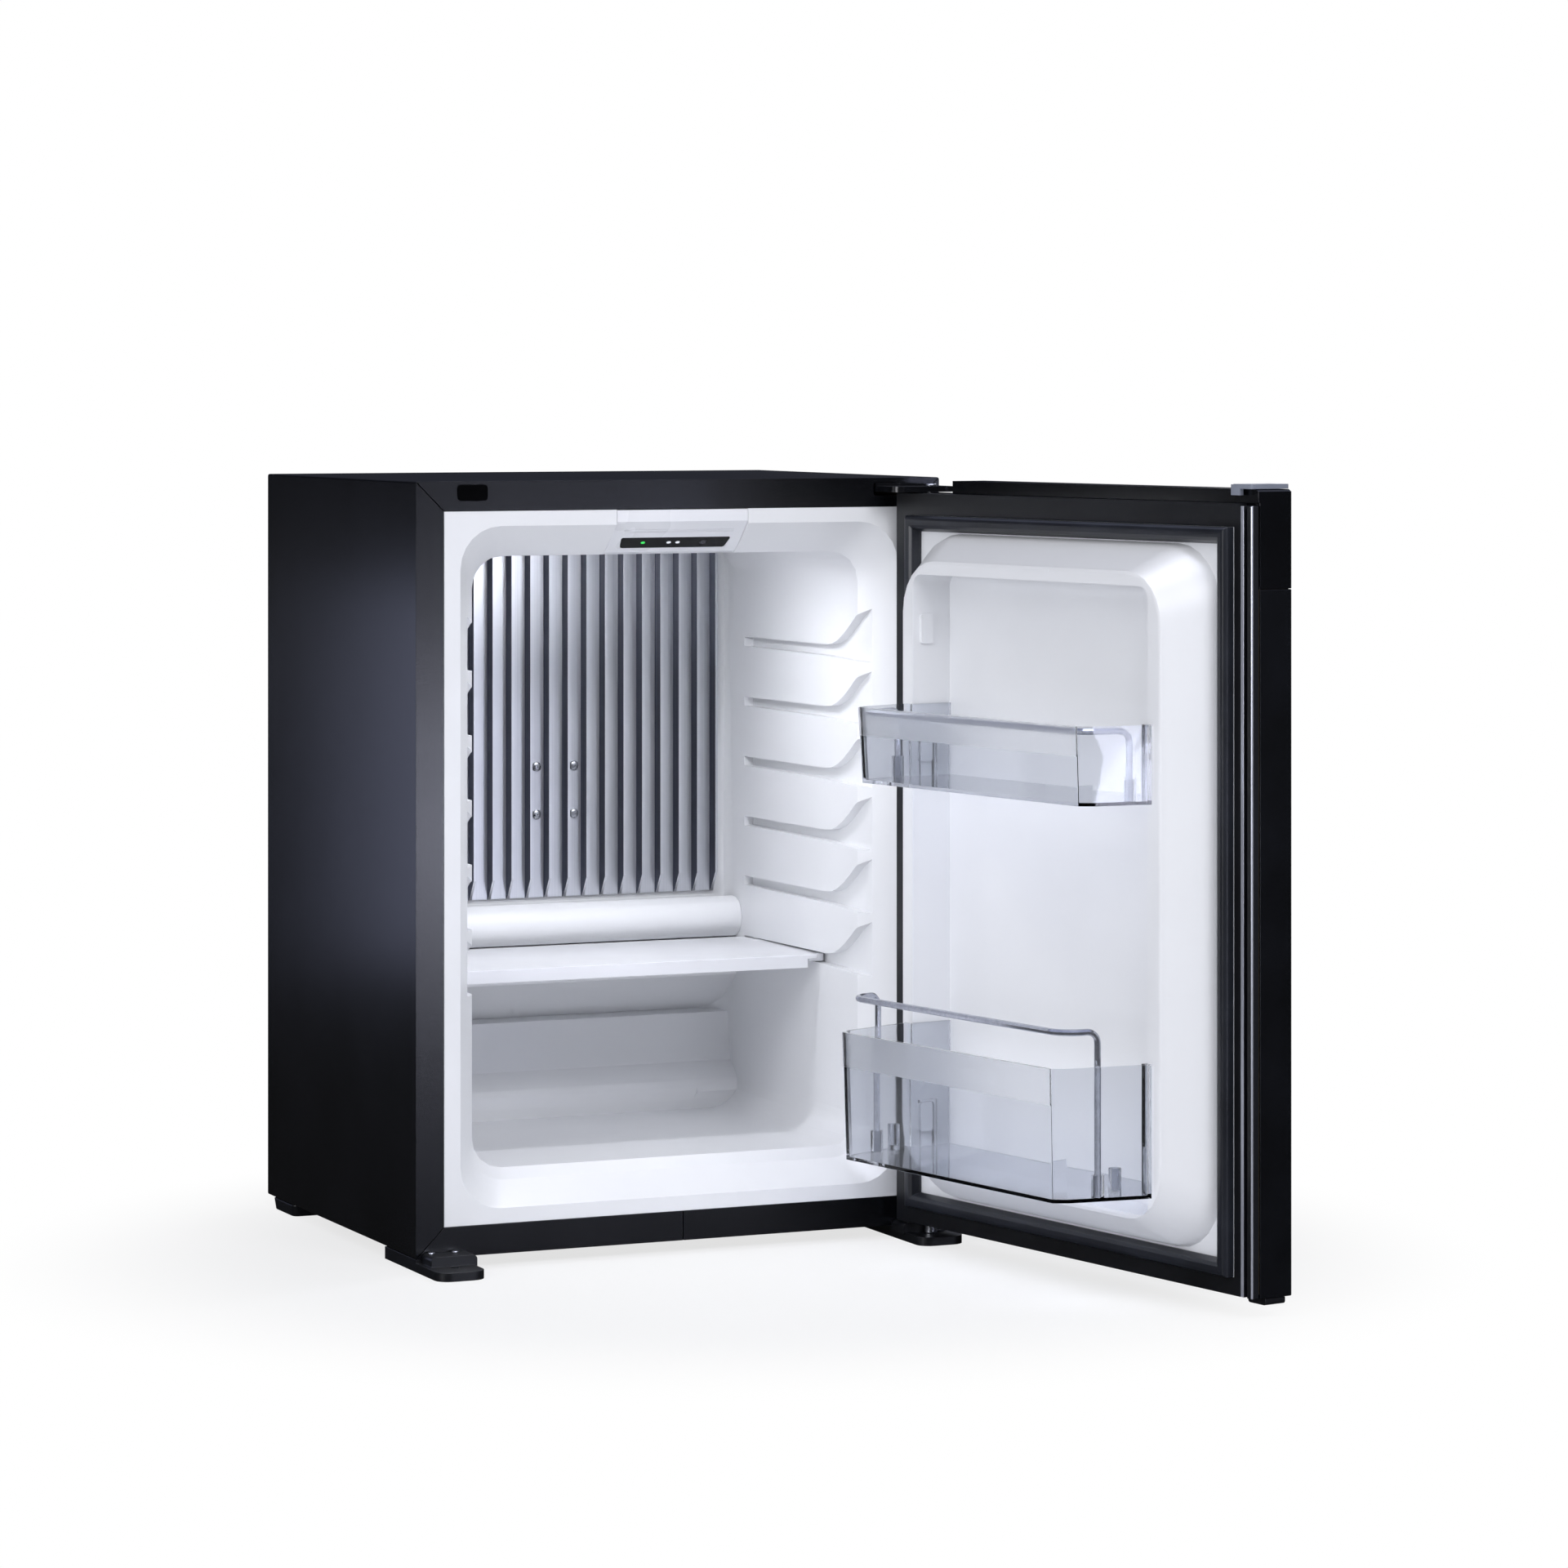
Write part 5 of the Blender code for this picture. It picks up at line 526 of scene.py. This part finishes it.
# %% [markdown]
# ## The door
# From the outside in: a coated steel panel and the polished grip module above it, caps and a trim profile
# round the edge, a black frame, the white inner skin, and the magnetic seal that runs round it. The trim
# profile is black with two bright lines, where the metal is left bare: a lip beside the frame, and the round
# of its nose.

# %% Door pieces
LIP_EDGE = -0.1914  # X in metres on the shut door
NOSE_EDGE, NOSE_END = -0.2004, -0.1988


def bright_strip(spot, way):
    """The profile's lip beside the frame and the round of its nose; what lies between stays black."""
    lip = spot.x > LIP_EDGE and way.y > 0.5
    nose = NOSE_EDGE < spot.x < NOSE_END and way.y > 0.2
    return lip or nose


dress_all([
    ("door_front_panel", panel_coat, 0.4), ("door_handle_module", module_plastic, 0.6),
    ("door_bottom_cap", frame_plastic, 0.5), ("door_rim_frame", frame_plastic, 0.0),
    ("door_liner", liner_plastic, 0.5), ("door_gasket", seal_plastic, 0.3),
    ("door_top_clip", clip_plastic, 0.4), ("door_bottom_block", frame_plastic, 0.4),
    ("lower_hinge_bush", frame_plastic, 0.2), ("upper_hinge_bush", frame_plastic, 0.2),
    ("upper_bottle_rail", wire_chrome, 0.0), ("lower_bottle_rail", wire_chrome, 0.0),
])
dress("door_edge_profile", [frame_plastic, trim_metal], 0.3,
      lambda piece: repaint(piece, DOOR, bright_strip))

# %% [markdown]
# ## The bins
# A band along the top of each bin's front stands a little proud and has a matt skin, which the mould maker
# erodes into the tool. The bin is cut round at the band's lower edge, and the faces of its front above the
# cut are pushed outward. Raising faces that are there already keeps the wall closed and of one piece, which
# a strip laid on top would not.

# %% Clear bins with a matt band
BAND_RAISE = 0.6 * MM
# Each bin with the height of its band's lower edge on the cabinet, and how far from the shut door's face a
# wall has to be to count as the bin's front. Both are in metres.
BANDS = [("upper_bin", 0.361, 0.07), ("lower_bin", 0.132, 0.085)]


def frosted_band(piece, level, reach):
    """Cuts the bin round at a level, and raises and frosts its front wall above the cut."""
    bpy.ops.object.mode_set(mode="EDIT")
    bpy.ops.mesh.select_mode(type="FACE")
    bpy.ops.mesh.select_all(action="SELECT")
    bpy.ops.mesh.bisect(plane_co=CABINET @ Vector((0.0, 0.0, level)), plane_no=(0.0, 0.0, 1.0))
    bpy.ops.mesh.select_all(action="DESELECT")
    bpy.ops.object.mode_set(mode="OBJECT")
    back = DOOR.inverted()
    for face in piece.data.polygons:
        spot, way = back @ face.center, back.to_3x3() @ face.normal
        face.select = way.y > 0.9 and spot.y > reach and spot.z > level
    bpy.ops.object.mode_set(mode="EDIT")
    bpy.ops.mesh.extrude_region_shrink_fatten(TRANSFORM_OT_shrink_fatten={"value": BAND_RAISE})
    bpy.ops.object.mode_set(mode="OBJECT")
    for face in piece.data.polygons:
        if face.select:
            face.material_index = 1


for name, level, reach in BANDS:
    dress(name, [bin_plastic, frosted_plastic], 0.5, lambda piece: frosted_band(piece, level, reach))

# %% [markdown]
# ## The cooling unit on the back
# An absorption unit has no compressor. A heater drives ammonia out of the solution in the boiler, the finned
# condenser sheds its heat, and the coil below takes the gas back into the solution in the vessel. The tubes
# are steel, enamelled black, held by zinc-plated straps.

# %% Cooling unit, its electrics and the screws
dress_all([
    ("condenser", tube_enamel, 0.0), ("absorber_coil", tube_enamel, 0.0), ("absorber_vessel", tube_enamel, 0.0),
    ("solution_pipe", tube_enamel, 0.0), ("evaporator_pipe", tube_enamel, 0.0),
    ("boiler_jacket", zinc_plate, 0.6), ("heater_cartridge", zinc_plate, 0.4),
    ("vessel_strap", zinc_plate, 0.2), ("boiler_strap", zinc_plate, 0.2),
    ("electronics_box", frame_plastic, 0.8), ("mains_inlet", frame_plastic, 0.4),
    ("evaporator_plug", evaporator_metal, 0.0), ("insulation_foam", foam, 0.0), ("door_foam", foam, 0.0),
])
for index in range(1, 5):
    dress_all([(f"evaporator_screw_{index}", zinc_plate, 0.3), (f"foot_screw_{index}", zinc_plate, 0.2)])
print("all dressed:", len(dressed), "of", len(nodes))

# %% [markdown]
# ## Small things
# Three details are too fine for the CAD model. Each screw that holds the evaporator has a cross recess. The
# button carries the usual sign for power, printed in grey: an open ring with a stroke in the gap. The lower
# bin has a second pair of sockets in front of the rail's, so that the rail can be set further in.
#
# A cross recess is punched by a tool with two tapered blades, and it is cut here in the same way: a bar,
# narrower at its inner end, is taken out of the screw's head once for each blade.

# %% Cross recesses in the evaporator's screws
BLADE = (4.2 * MM, 2.4 * MM, 0.95 * MM)  # its length, depth and thickness
BLADE_TAPER = (0.45, 1.0, 0.7)  # size of its inner end, as shares of its outer end
BLADE_SINK = 0.3 * MM  # from the face of the head to the blade's middle
CROSS_TURN = 20.0  # degrees, as the screws happened to stop

for index in range(1, 5):
    screw = dressed[f"evaporator_screw_{index}"]
    low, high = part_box(f"evaporator_screw_{index}")
    middle = Vector(((low[0] + high[0]) / 2, low[1] + BLADE_SINK, (low[2] + high[2]) / 2))
    for turn in (CROSS_TURN, CROSS_TURN + 90.0):
        deselect()
        bpy.ops.mesh.primitive_cube_add(size=1.0, location=(0.0, 0.0, 0.0))
        bar = bpy.context.object
        bar.scale = BLADE
        bpy.ops.object.transform_apply(location=False, rotation=False, scale=True)
        for face in bar.data.polygons:
            face.select = face.normal.y > 0.9
        bpy.ops.object.mode_set(mode="EDIT")
        bpy.ops.mesh.select_mode(type="FACE")
        bpy.ops.transform.resize(value=BLADE_TAPER)
        bpy.ops.object.mode_set(mode="OBJECT")
        bar.matrix_world = Matrix.Translation(middle) @ Matrix.Rotation(math.radians(turn), 4, "Y")
        bpy.context.view_layer.update()
        bpy.context.view_layer.objects.active = screw
        cut = screw.modifiers.new("cross recess", "BOOLEAN")
        cut.operation, cut.solver, cut.object = "DIFFERENCE", "EXACT", bar
        bpy.ops.object.modifier_apply(modifier=cut.name)
        bpy.data.objects.remove(bar)
print("screw faces:", len(screw.data.polygons))

# %% [markdown]
# A pad print is a film of ink a few hundredths of a millimetre thick. The ring is a torus with the faces in
# its gap deleted and its ends closed, the stroke is a thin rounded bar, and both are squashed to half their
# height. The sign lies on the face of the button that looks to the front, whose middle and direction are
# read from the CAD piece, and it rides on the button, so it moves with it.

# %% The power sign on the button
SIGN_RADIUS, SIGN_LINE = 1.35 * MM, 0.16 * MM  # the line is given by its half width
SIGN_GAP = 0.55 * MM  # to each side of the stroke
STROKE_LENGTH, STROKE_MIDDLE = 1.5 * MM, 0.95 * MM
STROKE_ROUND = 0.05 * MM
INK_HEIGHT = 0.02 * MM

button = nodes["power_button"].data
fronts = [face for face in button.polygons if face.normal.y < -0.3 and face.normal.z < -0.1]
way = sum((face.normal * face.area for face in fronts), Vector()).normalized()
corners = {index for face in fronts if face.normal.dot(way) > 0.99 for index in face.vertices}
spot = sum((button.vertices[index].co for index in corners), Vector()) / len(corners)
deselect()
bpy.ops.mesh.primitive_torus_add(major_radius=SIGN_RADIUS, minor_radius=SIGN_LINE,
                                 major_segments=40, minor_segments=8)
sign = bpy.context.object
sign.name = "power_sign"
for face in sign.data.polygons:
    face.select = face.center.y > 0 and abs(face.center.x) < SIGN_GAP
bpy.ops.object.mode_set(mode="EDIT")
bpy.ops.mesh.select_mode(type="FACE")
bpy.ops.mesh.delete(type="FACE")
bpy.ops.mesh.select_all(action="SELECT")
bpy.ops.mesh.fill_holes(sides=0)
bpy.ops.mesh.select_all(action="DESELECT")
bpy.ops.mesh.primitive_cylinder_add(vertices=10, radius=SIGN_LINE, depth=STROKE_LENGTH,
                                    location=(0.0, STROKE_MIDDLE, 0.0),
                                    rotation=(math.radians(90.0), 0.0, 0.0))
bpy.ops.mesh.bevel(offset=STROKE_ROUND, segments=2)
bpy.ops.object.mode_set(mode="OBJECT")
upward = way.cross(Vector((1.0, 0.0, 0.0))).normalized()
if upward.z < 0:
    upward.negate()
axes = Matrix((upward.cross(way), upward, way)).transposed().to_4x4()
sign.matrix_world = (Matrix.Translation(spot + way * INK_HEIGHT) @ axes
                     @ Matrix.Diagonal((1.0, 1.0, 0.5, 1.0)))
bpy.ops.object.transform_apply(location=True, rotation=True, scale=True)
bpy.ops.object.shade_smooth_by_angle(angle=math.radians(40.0))
sign.data.materials.append(print_ink)
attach(sign, body_of("power_button"))
print("sign at", [round(value, 4) for value in spot], "faces", len(sign.data.polygons))

# %% [markdown]
# A socket is a short tube moulded on the bin's floor, closed at its bottom, that takes the end of the wire
# rail. One is made from a cylinder, whose top is inset and pushed down to leave the wall and the floor, and
# the other is a copy with a mesh of its own.

# %% Second pair of sockets in the lower bin
SOCKET_RADIUS, SOCKET_HEIGHT = 4.2 * MM, 18.6 * MM
SOCKET_WALL, SOCKET_BORE = 1.6 * MM, 15.0 * MM
SOCKET_MIDDLE = Vector((0.125, 0.0465, 0.0786))  # of the right one, on the shut door, in metres

deselect()
bpy.ops.mesh.primitive_cylinder_add(vertices=24, radius=SOCKET_RADIUS, depth=SOCKET_HEIGHT)
first = bpy.context.object
for face in first.data.polygons:
    face.select = face.normal.z > 0.9
bpy.ops.object.mode_set(mode="EDIT")
bpy.ops.mesh.select_mode(type="FACE")
bpy.ops.mesh.inset(thickness=SOCKET_WALL)
bpy.ops.mesh.extrude_region_move(TRANSFORM_OT_translate={"value": (0.0, 0.0, -SOCKET_BORE)})
bpy.ops.object.mode_set(mode="OBJECT")
ease(first, 0.3)
first.data.materials.append(bin_plastic)
second = bpy.data.objects.new("socket", first.data.copy())
bpy.context.scene.collection.objects.link(second)
for index, (socket, side) in enumerate([(first, -1), (second, 1)], start=1):
    work_on(socket)
    socket.name = f"spare_rail_socket_{index}"
    socket.matrix_world = DOOR @ Matrix.Translation((side * SOCKET_MIDDLE.x, *SOCKET_MIDDLE.yz))
    bpy.ops.object.transform_apply(location=True, rotation=True, scale=True)
    bpy.ops.object.shade_smooth_by_angle(angle=math.radians(30.0))
    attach(socket, body_of("lower_bin"))
print("sockets stand on the bin's floor, at", round(min(corner.co.z for corner in second.data.vertices), 4))

# %% [markdown]
# ## Studio floor
# The photograph has a white ground that fades into a white background, with only a soft shadow under the
# fridge. A large floor does this. Near the fridge it is partly matt and takes the shadow; further out it
# turns into plain white, so no horizon shows, and the clear bins show that same white behind them.
#
# Black gloss is different, because it shows only what stands around it. On a floor that is white in every
# direction the casing would turn grey, so a ray that was mirrored sees an almost black floor.

# %% White floor that is dark in reflections
WHITE = (1.0, 1.0, 1.0, 1.0)
FLOOR_SIZE = 30.0  # in metres, as are the distances from the floor's middle below
FADE_START, FADE_END = 0.28, 0.55
NEAR_WHITE = 0.74  # share of plain white under the fridge, where the rest is matt floor
DUSK_START, DUSK_END = 2.5, 14.0
DUSK_NEAR, DUSK_FAR = 0.02, 0.08  # how bright a mirrored floor is, close by and far away


def seen_directly(tree, ray):
    """1 for rays that come straight from the camera or through clear plastic."""
    return add(tree, "ShaderNodeMath", {
        0: ray.outputs["Is Camera Ray"], 1: ray.outputs["Is Transmission Ray"]}, operation="MAXIMUM").outputs[0]


def smooth_range(tree, value, start, end, low, high):
    """Goes softly from low to high while the value goes from start to end."""
    return add(tree, "ShaderNodeMapRange", {
        "Value": value, "From Min": start, "From Max": end, "To Min": low, "To Max": high,
    }, interpolation_type="SMOOTHSTEP").outputs["Result"]


def blend(tree, amount, first, second):
    """The first closure where the amount is 0, the second where it is 1."""
    return add(tree, "ShaderNodeMixShader", {0: amount, 1: first, 2: second}).outputs["Shader"]


deselect()
bpy.ops.mesh.primitive_plane_add(size=FLOOR_SIZE, location=(0.0, 0.0, 0.0))
floor = bpy.context.object
floor.name = "studio_floor"
material, tree, shader, place = begin("matt_white_floor")
feed(tree, shader, {"Roughness": 0.9, "Base Color": linear("#F4F5F8")})
flat = add(tree, "ShaderNodeVectorMath", {0: place, 1: (1.0, 1.0, 0.0)}, operation="MULTIPLY")
away = add(tree, "ShaderNodeVectorMath", {0: flat.outputs["Vector"]}, operation="LENGTH").outputs["Value"]
ray = add(tree, "ShaderNodeLightPath")
fade = smooth_range(tree, away, FADE_START, FADE_END, NEAR_WHITE, 1.0)
plain = add(tree, "ShaderNodeMath", {0: seen_directly(tree, ray), 1: fade}, operation="MULTIPLY")
white = add(tree, "ShaderNodeEmission", {"Color": WHITE, "Strength": 1.0})
dusk = add(tree, "ShaderNodeEmission", {
    "Color": WHITE, "Strength": smooth_range(tree, away, DUSK_START, DUSK_END, DUSK_NEAR, DUSK_FAR)})
# A ray bent by slightly rough plastic counts as glossy too, so those are taken off again.
mirrored = add(tree, "ShaderNodeMath", {
    0: ray.outputs["Is Glossy Ray"], 1: ray.outputs["Is Transmission Ray"],
}, operation="SUBTRACT", use_clamp=True)
ground = blend(tree, plain.outputs[0], shader.outputs["BSDF"], white.outputs["Emission"])
shown(tree, blend(tree, mirrored.outputs[0], ground, dusk.outputs["Emission"]))
floor.data.materials.append(material)
print("floor of", round(floor.dimensions.x), "m")

# %% [markdown]
# ## Studio walls
# What surrounds the floor follows the same idea. It is white for the camera and through clear plastic. It
# gives a little even light. A mirrored ray sees a dim horizon and a bright cool ceiling, which is what lies
# on the tops of the rails and rounds of the casing.

# %% World
EVEN_LIGHT = 0.17
CEILING_START, CEILING_END = 0.3, 0.7  # how far up a ray looks, as the height of its direction
HORIZON_GLOW, CEILING_GLOW = 0.03, 0.8

world = bpy.data.worlds.new("studio_world")
bpy.context.scene.world = world
world.use_nodes = True
sky = world.node_tree
sky.nodes.clear()
ray = add(sky, "ShaderNodeLightPath")
looking = add(sky, "ShaderNodeTexCoord").outputs["Generated"]
height = add(sky, "ShaderNodeSeparateXYZ", {0: looking}).outputs["Z"]
glow = smooth_range(sky, height, CEILING_START, CEILING_END, HORIZON_GLOW, CEILING_GLOW)
lit = add(sky, "ShaderNodeBackground", {"Color": linear("#F1F3F9"), "Strength": EVEN_LIGHT})
dim = add(sky, "ShaderNodeBackground", {"Color": linear("#C6CDEE"), "Strength": glow})
bright = add(sky, "ShaderNodeBackground", {"Color": WHITE, "Strength": 1.0})
unseen = blend(sky, ray.outputs["Is Glossy Ray"], lit.outputs[0], dim.outputs[0])
whole = blend(sky, seen_directly(sky, ray), unseen, bright.outputs[0])
add(sky, "ShaderNodeOutputWorld", {"Surface": whole})
print(world.name, "has", len(sky.nodes), "nodes")

# %% [markdown]
# ## Lights
# Five soft boxes: a large one over the front and two smaller ones beside it light the inside, a low one on
# the left lights the open door, and one behind on the right draws the cooling unit. A small lamp under the
# control panel is the fridge's own light, which throws the shelf's shadow into the lower compartment.
#
# The last four are cards: lamps that no matt surface sees. Each stands where a black face mirrors it to the
# camera, and gives that face its soft glow: the front frame, the grip module, the casing's side, and what
# looks up at the ceiling.

# %% Soft boxes, the interior lamp and the cards
def soft_box(name, place, target, wide, high, power, tint="#F9FAFF", card=False):
    """A rectangular lamp of that size in metres and power in watts, turned to its target."""
    lamp = bpy.data.objects.new(name, bpy.data.lights.new(name, "AREA"))
    lamp.data.shape, lamp.data.size, lamp.data.size_y = "RECTANGLE", wide, high
    lamp.data.energy, lamp.data.color = power, linear(tint)[:3]
    lamp.location = place
    lamp.rotation_euler = (Vector(target) - Vector(place)).to_track_quat("-Z", "Y").to_euler()
    lamp.visible_camera = False
    lamp.visible_diffuse = not card
    bpy.context.scene.collection.objects.link(lamp)


soft_box("front_box", (-0.5, -2.6, 2.2), (0.0, 0.0, 0.3), 1.6, 1.2, 28.0)
soft_box("left_box", (-1.9, -1.6, 1.9), (0.1, 0.0, 0.3), 1.0, 1.0, 11.0)
soft_box("door_box", (-2.4, -0.95, 0.6), (0.2, -0.2, 0.3), 1.0, 0.9, 18.0)
soft_box("right_box", (0.6, -2.6, 1.95), (-0.1, 0.0, 0.3), 0.8, 0.8, 20.0)
soft_box("rear_box", (1.7, 1.4, 1.4), (0.1, 0.0, 0.3), 1.0, 1.0, 11.0)
soft_box("interior_lamp", CABINET @ Vector((0.0, 0.052, 0.483)), CABINET @ Vector((0.0, 0.12, 0.2)),
         0.09, 0.02, 0.4)
soft_box("frame_card", (0.72, -2.1, 0.08), (-0.2, 0.0, 0.28), 0.35, 0.3, 6.0, "#E6E9FF", card=True)
soft_box("module_card", (1.39, -2.49, 0.37), (0.21, -0.39, 0.45), 0.3, 0.16, 1.6, "#D6DCFF", card=True)
soft_box("side_card", (-0.84, 1.0, 0.26), (-0.23, 0.05, 0.3), 0.5, 0.35, 0.62, "#D0D8FF", card=True)
soft_box("ceiling_card", (0.0, -0.45, 2.2), (0.0, -0.3, 0.0), 1.6, 1.3, 34.0, "#EEF0FF", card=True)
print(len(bpy.data.lights), "lamps")
